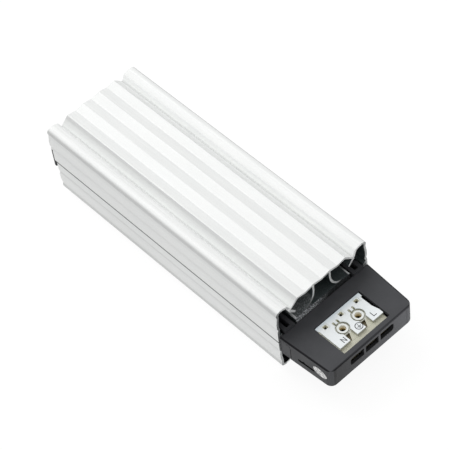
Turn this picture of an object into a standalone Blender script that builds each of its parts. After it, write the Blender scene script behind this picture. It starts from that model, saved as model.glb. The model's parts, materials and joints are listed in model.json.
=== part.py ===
"""Enclosure heater: two aluminium extrusion halves around a flat heating pack, with a
moulded terminal housing at one end and a spring clip for 35 mm rail on the underside.

Metres, +Z up. X runs along the heater towards the terminals, Y across it.
Pieces are drawn in the section frame: x = 0 at the far end of the upper half,
y = 0 and z = 0 in the middle of the joint between the halves. An empty then lifts
the whole heater onto its clip and centres it on the world origin.
"""
import math

import bmesh
import bpy
from mathutils import Matrix, Vector

# Working values
GAP = 0.0003                # between pieces that touch
CUT = 0.0010                # how far a cutter runs past a face
STAGGER = 0.0001            # keeps the faces of cutters and joined pieces off each other's planes
ARC_STEP = math.radians(15)

# Extrusion section
PROFILE_LENGTH = 0.1895
LOWER_SETBACK = 0.0034      # the lower half starts this far in at the far end
RIB_PITCH = 0.01204         # crest to crest of the corrugated face
CREST_HEIGHT = 0.0246
RIB_DEPTH = 0.0011
RIB_FALL = 0.00003          # each crest and valley outwards lies this much lower
GROOVE_OFFSET = 0.0054      # outermost crest to the groove beside the bead
GROOVE_HEIGHT = 0.0194
BEAD_INNER = 0.0020         # groove to the inner shoulder of the bead
BEAD_SHOULDER = 0.0236
BEAD_TOP = 0.0253
BEAD_WIDTH = 0.00864        # inner shoulder to the side face
HALF_WIDTH = 1.5 * RIB_PITCH + GROOVE_OFFSET + BEAD_INNER + BEAD_WIDTH
UNDERCUT_HEIGHT = 0.0200
UNDERCUT_DEPTH = 0.0007
UNDERCUT_RUN = 0.0045       # from the undercut down to the side face
SIDE_GROOVE_HEIGHT = 0.0096
SIDE_GROOVE_HALF = 0.0019
SIDE_GROOVE_DEPTH = 0.0006
SKIN = 0.0014               # wall of the corrugated skin
LIP = 0.0016                # outer lip of the side joint
TONGUE = 0.0015             # inner tongue of the side joint
TONGUE_REACH = 0.0042
SEAM_OFFSET = 0.0008        # how far each lip passes the middle plane
WEB_START = 0.0062          # middle of a web where it leaves the top skin
WEB_RADIUS = 0.0116
WEB = 0.0013
PLATE_MARGIN = 0.0134       # plate edge to the side face
PLATE_HALF_WIDTH = HALF_WIDTH - PLATE_MARGIN
PLATE_TOP = 0.0076
HOOK_LENGTH = 0.0052
HOOK = 0.0012
HOOK_SINK = 0.0006          # how far the hook's root lies inside the skin
HOOK_FOOT = 0.0004

# Heating pack
PACK_HALF = 0.0031          # middle plane to the face of each plate
SLEEVE = 0.0003
SLEEVE_HALF_WIDTH = 0.0150
SLEEVE_MARGIN = 0.0100
ELECTRODE = 0.0005
ELECTRODE_HALF_WIDTH = 0.0120
ELECTRODE_MARGIN = 0.0160
TAB_WIDTH = 0.0063
TAB_OFFSET = 0.0070
TAB_SETBACK = 0.0035
STONE_LENGTH = 0.0240
STONE_HALF_WIDTH = 0.0110
STONE_COUNT = 5

# Places along the terminal block, with x measured from the front end of the extrusion
WINDOW_BACK = 0.0100
BLOCK_CLEARANCE = 0.0004    # window to the block, all round
BLOCK_BACK = WINDOW_BACK + BLOCK_CLEARANCE
TEST_HOLE_INSET = 0.0029
TEST_HOLE_X = BLOCK_BACK + TEST_HOLE_INSET
BOSS_SPACING = 0.0072       # middle of the test hole to the middle of the boss
BOSS_X = TEST_HOLE_X + BOSS_SPACING
PAD_REACH = 0.0087          # middle of the boss to the end of the pads
PAD_END = BOSS_X + PAD_REACH
CAVITY_SETBACK = 0.0008
CAVITY_END = PAD_END - CAVITY_SETBACK
LEDGE_LENGTH = 0.0036
BLOCK_FRONT = PAD_END + LEDGE_LENGTH

# Terminal housing, as long as its block and a nose in front of it
WINDOW_FRONT = BLOCK_FRONT + BLOCK_CLEARANCE
HOUSING_NOSE = 0.0036
HOUSING_LENGTH = WINDOW_FRONT + HOUSING_NOSE
HOUSING_TOP = 0.0041
HOUSING_BOTTOM = -0.0107
HOUSING_SETBACK = 0.0004    # extrusion's side face to the housing's
HOUSING_TAPER = 0.0025
HOUSING_ROOT_HALF = HALF_WIDTH - HOUSING_SETBACK
HOUSING_CORNER = 0.0042
HOUSING_EDGE = 0.0007
HOUSING_WALL = 0.0020
WINDOW_HALF = 0.0172
WIRE_SLOT_SPAN = 0.0326
WIRE_SLOT_RIB = 0.0015
WIRE_SLOT_PITCH = 0.0111
WIRE_SLOT_HEIGHT = 0.0058
WIRE_SLOT_MIDDLE = -0.0019
LATCH_START = 0.0134
LATCH_END = 0.0246
LATCH_MIDDLE = -0.0050
LATCH_HEIGHT = 0.0011
LATCH_STEP = 0.0016
FRONT_STEP_HALF = 0.0266
FRONT_STEP_DEPTH = 0.00012
SIDE_STEP_LENGTH = 0.0077
SIDE_STEP_DEPTH = 0.0004
SIDE_STEP_TOP = 0.0014
LEAD_OPENING_HALF = 0.0150
BASE_THICKNESS = 0.0016
SNAP_THICKNESS = 0.0012
BASE_RAIL_INNER = 0.0060
BASE_RAIL_INSET = 0.0020    # the two rails under the block stop this far inside its sides
BASE_RAIL_MARGIN = 0.0010   # and this far inside its ends

# Legs of the housing and the rear cap, in the side channels of the extrusion
LEG_TO_PLATE = 0.0016
LEG_INNER = PLATE_HALF_WIDTH + LEG_TO_PLATE
LEG_CLEARANCE = 0.0012
LEG_OUTER = HALF_WIDTH - LIP - TONGUE - LEG_CLEARANCE
LEG_HALF_HEIGHT = 0.0061
LEG_REACH = 0.0120
LEG_SLOT = 0.0026
LEG_FLOOR = 0.0030

# Rear cap, in a notch across the far end of the upper half
CAP_RECESS = 0.0001         # end of the upper half to the cap's outer face
CAP_THICKNESS = 0.0013
CAP_NOTCH = CAP_RECESS + CAP_THICKNESS + GAP
CAP_SETBACK = 0.0002
CAP_HALF_WIDTH = HALF_WIDTH - CAP_SETBACK
CAP_TOP = 0.0080
CAP_BOTTOM = -0.0066
CAP_STEP_BOTTOM = -0.0047

# Terminal block
POLE_PITCH = 0.0118
BLOCK_TOP = HOUSING_TOP - BLOCK_CLEARANCE
BLOCK_BOTTOM = -0.0062
BLOCK_SHOULDER = 0.0011     # how far the shoulders and the wide front stand out
BLOCK_HALF = WINDOW_HALF - BLOCK_CLEARANCE - BLOCK_SHOULDER
SHOULDER_LENGTH = 0.0027
BLOCK_SHOULDER_END = BLOCK_BACK + SHOULDER_LENGTH
WAIST_PAST_BOSS = 0.0010    # the waist ends this far in front of the boss' middle
BLOCK_WAIST_END = BOSS_X + WAIST_PAST_BOSS
BLOCK_RAMP = 0.0045
BLOCK_FLANGE = 0.0011
SIDE_LEDGE = 0.0005         # width of the low ledge on the neutral side
SIDE_LEDGE_DROP = 0.0008
LIVE_SIDE_ROOM = 0.0005     # further room between block and window on the live side
PAD_HALF = 0.0032
PAD_STEP = 0.0022
CHANNEL_DEPTH = 0.0020
BOSS_RADIUS = 0.0032
BOSS_HOLE = 0.0020
BOSS_DROP = 0.0004
BOSS_RECESS = 0.0042
PRONG_REACH = 0.0064        # middle of the boss to the end of each prong
PRONG_OFFSET = 0.0014
PRONG_HALF = 0.00065
WEDGE_MARGIN = 0.0004
WEDGE_NARROW = 0.0013
WEDGE_WIDE = 0.0038
TEST_HOLE = 0.0025
TEST_RIM = 0.0040
CAVITY_HALF = 0.0037
CAVITY_TOP = 0.0009
BLOCK_FLOOR = 0.0012
WIRE_HOLE_HALF = 0.0025
WIRE_HOLE_FLOOR = -0.0035

# Contacts, leads and earth screw
CONTACT_HALF = 0.0026
CONTACT = 0.0008
CONTACT_TAIL = 0.0010       # how far a contact stands out behind the block
CONTACT_RISE = 0.00105
SPRING_HALF = 0.0031
SPRING = 0.0004
SPRING_FOOT = 0.0060        # length along the contact, back from its front end
SPRING_CROWN = 0.0050
SPRING_TOE = 0.0012
SPRING_TIP = 0.0052
LEAD_RADIUS = 0.0009
EARTH_SHANK = 0.0013
EARTH_DEPTH = 0.0080
EARTH_HEAD = 0.0026
EARTH_HEAD_HEIGHT = 0.0018
LUG = 0.0008
LUG_RADIUS = 0.0031
LUG_TONGUE = 0.0036         # length of the lug's tongue beyond its ring

# Rail clip
RAIL_WIDTH = 0.0350
RAIL_PLAY = 0.0003
RAIL_GAP = 0.0014
CLIP = 0.0012
CLIP_HALF_WIDTH = 0.0125
CLIP_LIP = 0.0034
CLIP_TAB = 0.0080
CLIP_SHIFT = 0.0050         # middle of the clip, towards the terminals from mid length
RIVET_SPACING = 0.0160
RIVET_SHANK = 0.0019
RIVET_HEAD = 0.0036
RIVET_HEAD_HEIGHT = 0.0014
RIVET_TAIL = 0.0031
RIVET_TAIL_HEIGHT = 0.0015

LENGTHWISE = Matrix(((0, 0, 1, 0), (1, 0, 0, 0), (0, 1, 0, 0), (0, 0, 0, 1)))
UPRIGHT = Matrix.Identity(4)
CROSSWISE = Matrix(((1, 0, 0, 0), (0, 0, -1, 0), (0, 1, 0, 0), (0, 0, 0, 1)))

FRONT = PROFILE_LENGTH
POLES = {"neutral": -POLE_PITCH, "earth": 0.0, "live": POLE_PITCH}


# Scene

def clear_scene():
    for thing in list(bpy.data.objects):
        bpy.data.objects.remove(thing, do_unlink=True)


def make_collection(name):
    collection = bpy.data.collections.new(name)
    bpy.context.scene.collection.children.link(collection)
    return collection


def make_material(name, colour, roughness, metallic=0.0):
    material = bpy.data.materials.new(name)
    material.use_nodes = True
    shader = material.node_tree.nodes["Principled BSDF"]
    shader.inputs["Base Color"].default_value = (*colour, 1.0)
    shader.inputs["Roughness"].default_value = roughness
    shader.inputs["Metallic"].default_value = metallic
    return material


clear_scene()
PARTS = make_collection("enclosure_heater")
CUTTERS = make_collection("cutters")
ROOT = bpy.data.objects.new("heater_frame", None)
PARTS.objects.link(ROOT)


# Outlines

def fillet(corners):
    """Turns (a, b, radius) corners into points, with an arc in place of each corner."""
    points = []
    for index, (a, b, radius) in enumerate(corners):
        here = Vector((a, b))
        before = Vector(corners[index - 1][:2]) - here
        after = Vector(corners[(index + 1) % len(corners)][:2]) - here
        turn = math.pi - before.angle(after)
        reach = radius * math.tan(turn / 2)
        reach = min(reach, 0.49 * before.length, 0.49 * after.length)
        if reach < 1e-6:
            points.append((a, b))
            continue
        radius = reach / math.tan(turn / 2)
        bisector = (before.normalized() + after.normalized()).normalized()
        centre = here + bisector * (radius / math.cos(turn / 2))
        start = here + before.normalized() * reach - centre
        side = 1 if before.x * after.y - before.y * after.x < 0 else -1
        steps = max(1, round(turn / ARC_STEP))
        for step in range(steps + 1):
            spoke = start.copy()
            spoke.rotate(Matrix.Rotation(side * turn * step / steps, 2))
            points.append(tuple(centre + spoke))
    return points


def inset(corners, distance):
    """Moves an open run of (a, b, radius) corners to its right-hand side."""
    moved = []
    for index, (a, b, radius) in enumerate(corners):
        here = Vector((a, b))
        before = corners[max(index - 1, 0)]
        after = corners[min(index + 1, len(corners) - 1)]
        way_in = (here - Vector(before[:2])) if index > 0 else Vector(after[:2]) - here
        way_out = (Vector(after[:2]) - here) if index + 1 < len(corners) else way_in
        normals = [Vector((way.y, -way.x)).normalized() for way in (way_in, way_out)]
        mitre = (normals[0] + normals[1]).normalized()
        here = here + mitre * distance / mitre.dot(normals[0])
        moved.append((here.x, here.y, radius))
    return moved


def height_at(corners, across):
    """Height of a run of corners above the given place."""
    for left, right in zip(corners, corners[1:]):
        if left[0] <= across <= right[0]:
            share = (across - left[0]) / (right[0] - left[0])
            return left[1] + share * (right[1] - left[1])
    return corners[-1][1]


def arc(centre, radius, first, last):
    """Points of an arc, both ends included, with angles in degrees."""
    steps = max(2, round(abs(math.radians(last - first)) / ARC_STEP))
    angles = [math.radians(first + (last - first) * step / steps) for step in range(steps + 1)]
    return [(centre[0] + radius * math.cos(angle), centre[1] + radius * math.sin(angle)) for angle in angles]


def rectangle(low_a, low_b, high_a, high_b, radius=0.0):
    corners = [(low_a, low_b), (high_a, low_b), (high_a, high_b), (low_a, high_b)]
    return fillet([(a, b, radius) for a, b in corners])


# Solids

def adopt(thing, material, collection):
    for other in list(thing.users_collection):
        other.objects.unlink(thing)
    collection.objects.link(thing)
    if material is not None:
        thing.data.materials.clear()
        thing.data.materials.append(material)
    if collection is CUTTERS:
        thing.hide_render = True
        thing.display_type = "WIRE"
    thing.parent = ROOT


def mesh_from_curve(curve_object, name):
    """Replaces a curve by its evaluated mesh, with the caps welded on."""
    bpy.context.view_layer.update()
    evaluated = curve_object.evaluated_get(bpy.context.evaluated_depsgraph_get())
    mesh = bpy.data.meshes.new_from_object(evaluated)
    work = bmesh.new()
    work.from_mesh(mesh)
    bmesh.ops.remove_doubles(work, verts=work.verts, dist=1e-6)
    bmesh.ops.dissolve_degenerate(work, dist=1e-7, edges=work.edges)
    bmesh.ops.dissolve_limit(work, angle_limit=math.radians(0.1), verts=work.verts, edges=work.edges)
    bmesh.ops.recalc_face_normals(work, faces=work.faces)
    work.to_mesh(mesh)
    work.free()
    solid = bpy.data.objects.new(name, mesh)
    solid.matrix_world = curve_object.matrix_world.copy()
    curve = curve_object.data
    bpy.data.objects.remove(curve_object, do_unlink=True)
    bpy.data.curves.remove(curve)
    return solid


def extrusion(name, loops, basis, low, high, material=None, collection=None):
    """A flat outline, with holes if there are more loops, run from low to high."""
    curve = bpy.data.curves.new(name + "_outline", "CURVE")
    curve.dimensions = "2D"
    curve.fill_mode = "BOTH"
    curve.extrude = (high - low) / 2
    for points in loops:
        spline = curve.splines.new("POLY")
        spline.points.add(len(points) - 1)
        for point, (a, b) in zip(spline.points, points):
            point.co = (a, b, 0.0, 1.0)
        spline.use_cyclic_u = True
    outline = bpy.data.objects.new(name + "_outline", curve)
    PARTS.objects.link(outline)
    outline.matrix_world = basis @ Matrix.Translation((0, 0, (low + high) / 2))
    solid = mesh_from_curve(outline, name)
    adopt(solid, material, collection or PARTS)
    return solid


def block(name, low, high, material=None, collection=None):
    """A box between two corners."""
    work = bmesh.new()
    bmesh.ops.create_cube(work, size=1.0)
    size = Vector(high) - Vector(low)
    bmesh.ops.scale(work, verts=work.verts, vec=size)
    bmesh.ops.translate(work, verts=work.verts, vec=(Vector(low) + Vector(high)) / 2)
    mesh = bpy.data.meshes.new(name)
    work.to_mesh(mesh)
    work.free()
    solid = bpy.data.objects.new(name, mesh)
    adopt(solid, material, collection or PARTS)
    return solid


def cylinder(name, radius, low, high, centre, axis=UPRIGHT, sides=24, collection=None):
    """A round bar along the basis' third axis, from low to high."""
    work = bmesh.new()
    bmesh.ops.create_cone(work, cap_ends=True, segments=sides, radius1=radius, radius2=radius, depth=high - low)
    mesh = bpy.data.meshes.new(name)
    work.to_mesh(mesh)
    work.free()
    solid = bpy.data.objects.new(name, mesh)
    solid.matrix_world = axis @ Matrix.Translation((centre[0], centre[1], (low + high) / 2))
    adopt(solid, None, collection or CUTTERS)
    return solid


def turned(name, profile, place, material=None, collection=None, sides=24):
    """Spins a (radius, height) profile, listed from top to bottom, about its own Z axis."""
    mesh = bpy.data.meshes.new(name)
    work = bmesh.new()
    verts = [work.verts.new((radius, 0.0, height)) for radius, height in profile]
    for first, second in zip(verts, verts[1:]):
        work.edges.new((first, second))
    work.to_mesh(mesh)
    work.free()
    solid = bpy.data.objects.new(name, mesh)
    solid.matrix_world = place
    screw = solid.modifiers.new("spin", "SCREW")
    screw.steps = sides
    screw.render_steps = sides
    screw.use_merge_vertices = True
    screw.merge_threshold = 0.00001
    adopt(solid, material, collection or PARTS)
    return solid


def boolean(solid, tool, operation):
    modifier = solid.modifiers.new(operation.lower(), "BOOLEAN")
    modifier.operation = operation
    modifier.solver = "EXACT"
    modifier.object = tool
    tool.hide_render = True
    tool.display_type = "WIRE"


def cut(solid, *tools):
    for tool in tools:
        boolean(solid, tool, "DIFFERENCE")


def join(solid, *tools):
    for tool in tools:
        boolean(solid, tool, "UNION")


def smooth(solid, degrees=35):
    solid.data.shade_smooth()
    solid.data.set_sharp_from_angle(angle=math.radians(degrees))


def strip(path, thickness):
    """Closed outline of a bent strip whose middle follows the (a, b, radius) path."""
    left = inset(path, -thickness / 2)
    right = inset(path, thickness / 2)
    return fillet(left + right[::-1])


# Extrusion halves

def skin_corners():
    """Outer face of the upper half from the middle to the side wall, for y above 0."""
    outer_crest = 1.5 * RIB_PITCH
    groove = outer_crest + GROOVE_OFFSET
    shoulder = groove + BEAD_INNER
    corners = []
    for rib in range(4):
        height = CREST_HEIGHT - rib * RIB_FALL - (0.0 if rib % 2 else RIB_DEPTH)
        corners.append((rib * RIB_PITCH / 2, height, 0.0008))
    corners.append((groove, GROOVE_HEIGHT, 0.0003))
    corners.append((shoulder, BEAD_SHOULDER, 0.0012))
    corners.append(((shoulder + HALF_WIDTH) / 2, BEAD_TOP, 0.0050))
    corners.append((HALF_WIDTH, BEAD_SHOULDER, 0.0026))
    corners.append((HALF_WIDTH - UNDERCUT_DEPTH, UNDERCUT_HEIGHT, 0.0005))
    corners.append((HALF_WIDTH, UNDERCUT_HEIGHT - UNDERCUT_RUN, 0.0030))
    corners.append((HALF_WIDTH, SIDE_GROOVE_HEIGHT + SIDE_GROOVE_HALF, 0.0004))
    corners.append((HALF_WIDTH - SIDE_GROOVE_DEPTH, SIDE_GROOVE_HEIGHT, 0.0004))
    corners.append((HALF_WIDTH, SIDE_GROOVE_HEIGHT - SIDE_GROOVE_HALF, 0.0004))
    return corners


def web_arc(radius, first, last):
    centre = (WEB_START + WEB_RADIUS, PLATE_TOP + WEB_RADIUS - WEB / 2)
    return arc(centre, radius, first, last)


def as_corners(points):
    return [(a, b, 0.0) for a, b in points]


def inner_corners():
    """Inner face of the upper half from the side wall to the middle, for y above 0."""
    skin = skin_corners()
    inner = inset(skin, SKIN)
    top = inner[:4]
    groove = inner[4]
    hook_way = Vector((-1, -1)).normalized()
    hook_side = Vector((1, -1)).normalized() * HOOK / 2
    hook_root = Vector(groove[:2]) + Vector((0.0, HOOK_SINK))
    hook_tip = hook_root + hook_way * HOOK_LENGTH
    corners = inner[:4:-1]
    corners.append((*(hook_root + hook_side * 1.2), 0.0))
    corners.append((*(hook_tip + hook_side), 0.0004))
    corners.append((*(hook_tip - hook_side), 0.0004))
    slope_start = hook_root - hook_side * 1.2 + Vector((-HOOK_FOOT, HOOK_FOOT))
    corners.append((*slope_start, 0.0))
    corners.append(inner[3])
    corners.append(inner[2])
    start = WEB_START + WEB / 2
    corners.append((start, height_at(top, start), 0.0004))
    corners += as_corners(web_arc(WEB_RADIUS - WEB / 2, 180, 270))
    corners.append((PLATE_HALF_WIDTH, PLATE_TOP, 0.0004))
    corners.append((PLATE_HALF_WIDTH, PACK_HALF, 0.0004))
    return corners


def tongue_end():
    """Side joint on the side where the inner tongue passes the middle plane."""
    tongue_out = HALF_WIDTH - LIP - GAP
    tongue_in = tongue_out - TONGUE
    ledge = SEAM_OFFSET + GAP
    return [(HALF_WIDTH, ledge, 0.0), (tongue_out, ledge, 0.0), (tongue_out, -TONGUE_REACH, 0.0003),
            (tongue_in, -TONGUE_REACH, 0.0003), (tongue_in, TONGUE_REACH + TONGUE, 0.0006)]


def lip_end():
    """Side joint on the side where the outer lip covers the other half's tongue."""
    return [(HALF_WIDTH, -SEAM_OFFSET, 0.0), (HALF_WIDTH - LIP, -SEAM_OFFSET, 0.0)]


def section_loops():
    """Outline and middle cell of the upper half, seen along X."""
    skin = skin_corners()
    inner = inner_corners()
    right = skin + tongue_end() + inner
    left = skin + lip_end() + inner
    left = [(-a, b, radius) for a, b, radius in left[:0:-1]]
    outline = fillet(right + left)
    roof = inset(skin, SKIN)[:2]
    start = WEB_START - WEB / 2
    reach = WEB_RADIUS + WEB / 2
    drop = WEB_RADIUS - WEB / 2 + RIB_FALL
    last = 180 + math.degrees(math.asin(drop / reach))
    side = [(0.0, roof[0][1], 0.0008), (start, height_at(roof + [inset(skin, SKIN)[2]], start), 0.0)]
    side += as_corners(web_arc(reach, 180, last))
    cell = fillet(side + [(-a, b, radius) for a, b, radius in side[:0:-1]])
    return [outline, cell]


def make_profiles(aluminium):
    loops = section_loops()
    upper = extrusion("upper_profile", loops, LENGTHWISE, 0.0, PROFILE_LENGTH, aluminium)
    turned_over = [[(-a, -b) for a, b in points] for points in loops]
    lower = extrusion("lower_profile", turned_over, LENGTHWISE, LOWER_SETBACK, PROFILE_LENGTH, aluminium)
    wall_middle = -(CREST_HEIGHT - RIB_DEPTH - SKIN / 2)
    for number, x in enumerate(rivet_places()):
        hole = cylinder(f"rivet_hole_{number}", RIVET_SHANK + GAP, wall_middle - SKIN - CUT, wall_middle + SKIN + CUT,
                        (x, 0.0))
        cut(lower, hole)
    earth_hole = cylinder("earth_hole", EARTH_SHANK + GAP, PROFILE_LENGTH - EARTH_DEPTH - CUT, PROFILE_LENGTH + CUT,
                          (0.0, earth_height()), LENGTHWISE, 16)
    cut(lower, earth_hole)
    notch = block("cap_notch", (-CUT, -HALF_WIDTH - CUT, -TONGUE_REACH - CUT),
                  (CAP_NOTCH, HALF_WIDTH + CUT, CAP_TOP + GAP), None, CUTTERS)
    cut(upper, notch)
    smooth(upper, 18)
    smooth(lower, 18)


def earth_height():
    return -(PACK_HALF + PLATE_TOP) / 2


# Heating pack

def stone_half():
    return PACK_HALF - SLEEVE - ELECTRODE - 3 * GAP


def make_pack(ceramic, copper, film):
    outer = rectangle(-SLEEVE_HALF_WIDTH, -(PACK_HALF - GAP), SLEEVE_HALF_WIDTH, PACK_HALF - GAP, 0.0006)
    wall = GAP + SLEEVE
    inner = rectangle(SLEEVE - SLEEVE_HALF_WIDTH, -(PACK_HALF - wall), SLEEVE_HALF_WIDTH - SLEEVE, PACK_HALF - wall,
                      0.0003)
    extrusion("insulation_sleeve", [outer, inner], LENGTHWISE, SLEEVE_MARGIN, PROFILE_LENGTH - SLEEVE_MARGIN, film)
    first = ELECTRODE_MARGIN
    last = PROFILE_LENGTH - ELECTRODE_MARGIN
    for name, side in (("electrode_upper", 1), ("electrode_lower", -1)):
        tab = side * TAB_OFFSET
        tab_end = PROFILE_LENGTH - TAB_SETBACK
        low, high = sorted((tab - TAB_WIDTH / 2, tab + TAB_WIDTH / 2))
        corners = [(first, -ELECTRODE_HALF_WIDTH), (last, -ELECTRODE_HALF_WIDTH), (last, low), (tab_end, low),
                   (tab_end, high), (last, high), (last, ELECTRODE_HALF_WIDTH), (first, ELECTRODE_HALF_WIDTH)]
        outline = fillet([(a, b, 0.0010) for a, b in corners])
        near = stone_half() + GAP
        bottom, top = sorted((side * near, side * (near + ELECTRODE)))
        extrusion(name, [outline], UPRIGHT, bottom, top, copper)
    room = last - first - STONE_COUNT * STONE_LENGTH
    space = room / (STONE_COUNT + 1)
    for number in range(STONE_COUNT):
        start = first + space + number * (STONE_LENGTH + space)
        outline = rectangle(start, -STONE_HALF_WIDTH, start + STONE_LENGTH, STONE_HALF_WIDTH, 0.0006)
        extrusion(f"ptc_stone_{number + 1}", [outline], UPRIGHT, -stone_half(), stone_half(), ceramic)


# Terminal housing

def side_at(x, depth=0.0):
    """Half width of the housing at x from the extrusion's end, less a depth."""
    return HOUSING_ROOT_HALF - HOUSING_TAPER * x / HOUSING_LENGTH - depth


def plan(back, front, depth, corner):
    """Plan outline of the housing, set in by a depth at the sides."""
    corners = [(FRONT + back, -side_at(back, depth), 0.0), (FRONT + front, -side_at(front, depth), corner),
               (FRONT + front, side_at(front, depth), corner), (FRONT + back, side_at(back, depth), 0.0)]
    return fillet(corners)


def side_patch(side, back, front, shallow, deep):
    """Plan outline of a strip along one side wall, between two depths."""
    corners = [(FRONT + back, side * side_at(back, shallow)), (FRONT + front, side * side_at(front, shallow)),
               (FRONT + front, side * side_at(front, deep)), (FRONT + back, side * side_at(back, deep))]
    return corners


def legs(name, solid, low, high, side_gap_low, side_gap_high):
    """Joins two slotted legs that run from low to high along X."""
    for number, side in enumerate((-1, 1)):
        inner, outer = sorted((side * LEG_INNER, side * LEG_OUTER))
        leg = block(f"{name}_leg_{number}", (low, inner, -LEG_HALF_HEIGHT), (high, outer, LEG_HALF_HEIGHT), None, CUTTERS)
        middle = (inner + outer) / 2
        slot = block(f"{name}_leg_slot_{number}", (side_gap_low, middle - LEG_SLOT / 2, LEG_FLOOR - LEG_HALF_HEIGHT),
                     (side_gap_high, middle + LEG_SLOT / 2, LEG_HALF_HEIGHT + CUT), None, CUTTERS)
        cut(leg, slot)
        join(solid, leg)


def make_housing_cover(plastic):
    cover = extrusion("housing_cover", [plan(GAP, HOUSING_LENGTH, 0.0, HOUSING_CORNER)], UPRIGHT, HOUSING_BOTTOM,
                      HOUSING_TOP, plastic)
    edge = cover.modifiers.new("edge", "BEVEL")
    edge.width = HOUSING_EDGE
    edge.segments = 2
    edge.limit_method = "ANGLE"
    edge.angle_limit = math.radians(50)
    inside = plan(GAP + HOUSING_WALL, HOUSING_LENGTH - HOUSING_WALL, HOUSING_WALL, HOUSING_CORNER - HOUSING_WALL)
    hollow = extrusion("cover_hollow", [inside], UPRIGHT, HOUSING_BOTTOM - CUT, HOUSING_TOP - HOUSING_WALL, None,
                       CUTTERS)
    window = extrusion("cover_window", [rectangle(FRONT + WINDOW_BACK, -WINDOW_HALF, FRONT + WINDOW_FRONT, WINDOW_HALF,
                                                  0.0004)],
                       UPRIGHT, HOUSING_TOP - HOUSING_WALL - CUT, HOUSING_TOP + CUT, None, CUTTERS)
    lead_way = block("cover_lead_way", (FRONT - CUT, -LEAD_OPENING_HALF, HOUSING_BOTTOM - CUT),
                     (FRONT + GAP + HOUSING_WALL + CUT, LEAD_OPENING_HALF, HOUSING_TOP - HOUSING_WALL), None, CUTTERS)
    cut(cover, hollow, window, lead_way)
    legs("cover", cover, FRONT - LEG_REACH, FRONT + GAP + HOUSING_WALL / 2, FRONT - LEG_REACH - CUT, FRONT - GAP)
    front_step = block("front_step", (FRONT + HOUSING_LENGTH - FRONT_STEP_DEPTH, -FRONT_STEP_HALF, HOUSING_BOTTOM - CUT),
                       (FRONT + HOUSING_LENGTH + CUT, FRONT_STEP_HALF, HOUSING_TOP - 2 * HOUSING_EDGE), None, CUTTERS)
    cut(cover, front_step)
    for number, loop in enumerate(wire_slot_outlines()):
        slot = extrusion(f"wire_slot_{number}", [loop], LENGTHWISE, FRONT + HOUSING_LENGTH - HOUSING_WALL - CUT,
                         FRONT + HOUSING_LENGTH + CUT, None, CUTTERS)
        cut(cover, slot)
    for number, side in enumerate((-1, 1)):
        latch = extrusion(f"latch_slot_{number}",
                          [side_patch(side, LATCH_START, LATCH_END, -CUT, HOUSING_WALL + CUT)], UPRIGHT,
                          LATCH_MIDDLE - LATCH_HEIGHT / 2, LATCH_MIDDLE + LATCH_HEIGHT / 2, None, CUTTERS)
        notch_end = LATCH_START + 3 * LATCH_STEP
        notch = extrusion(f"latch_notch_{number}",
                          [side_patch(side, notch_end - LATCH_STEP, notch_end, -CUT, HOUSING_WALL + CUT)], UPRIGHT,
                          LATCH_MIDDLE, LATCH_MIDDLE + LATCH_HEIGHT / 2 + LATCH_STEP / 2, None, CUTTERS)
        step = extrusion(f"side_step_{number}", [side_patch(side, -CUT, SIDE_STEP_LENGTH, -CUT, SIDE_STEP_DEPTH)],
                         UPRIGHT, HOUSING_BOTTOM - CUT, SIDE_STEP_TOP, None, CUTTERS)
        cut(cover, latch, notch, step)
    smooth(cover)


def wire_slot_outlines():
    """Three slots side by side, rounded at the outer ends of the row."""
    low = WIRE_SLOT_MIDDLE - WIRE_SLOT_HEIGHT / 2
    high = WIRE_SLOT_MIDDLE + WIRE_SLOT_HEIGHT / 2
    rib_face = WIRE_SLOT_PITCH / 2
    end = WIRE_SLOT_SPAN / 2
    round_end = 0.0017
    square_end = 0.0003
    middle = rib_face - WIRE_SLOT_RIB / 2
    yield rectangle(-middle, low, middle, high, square_end)
    for side in (-1, 1):
        near = side * (rib_face + WIRE_SLOT_RIB / 2)
        far = side * end
        yield fillet([(near, low, square_end), (far, low, round_end), (far, high, round_end),
                      (near, high, square_end)])


def make_housing_base(plastic):
    depth = HOUSING_WALL + GAP
    top = HOUSING_BOTTOM + BASE_THICKNESS
    front = HOUSING_LENGTH - depth
    base = extrusion("housing_base", [plan(GAP, front, depth, HOUSING_CORNER - depth)], UPRIGHT, HOUSING_BOTTOM, top,
                     plastic)
    rear_relief = block("base_rear_relief", (FRONT - CUT, -HOUSING_ROOT_HALF, HOUSING_BOTTOM - CUT),
                        (FRONT + 2 * GAP + HOUSING_WALL, HOUSING_ROOT_HALF, top + CUT), None, CUTTERS)
    cut(base, rear_relief)
    latch_low = LATCH_MIDDLE - LATCH_HEIGHT / 2 + GAP
    latch_high = LATCH_MIDDLE + LATCH_HEIGHT / 2 - GAP
    for number, side in enumerate((-1, 1)):
        start = LATCH_START + GAP
        end = LATCH_END - GAP
        shallow = depth + GAP / 2
        tab = extrusion(f"snap_tab_{number}", [side_patch(side, start, end, shallow, shallow + SNAP_THICKNESS)],
                        UPRIGHT, HOUSING_BOTTOM + BASE_THICKNESS / 2, LATCH_MIDDLE + LATCH_HEIGHT, None, CUTTERS)
        ridge = extrusion(f"snap_ridge_{number}",
                          [side_patch(side, start + GAP, end - GAP, HOUSING_WALL * 0.4, depth + SNAP_THICKNESS / 2)],
                          UPRIGHT, latch_low, latch_high, None, CUTTERS)
        join(base, tab, ridge)
        low, high = sorted((side * BASE_RAIL_INNER, side * (BLOCK_HALF - BASE_RAIL_INSET)))
        rail_start = FRONT + BLOCK_BACK + BASE_RAIL_MARGIN
        rail_end = FRONT + BLOCK_FRONT - BASE_RAIL_MARGIN
        rail = block(f"block_rail_{number}", (rail_start, low, HOUSING_BOTTOM + BASE_THICKNESS / 2),
                     (rail_end, high, BLOCK_BOTTOM - GAP), None, CUTTERS)
        join(base, rail)
    smooth(base)


# Terminal block

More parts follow.
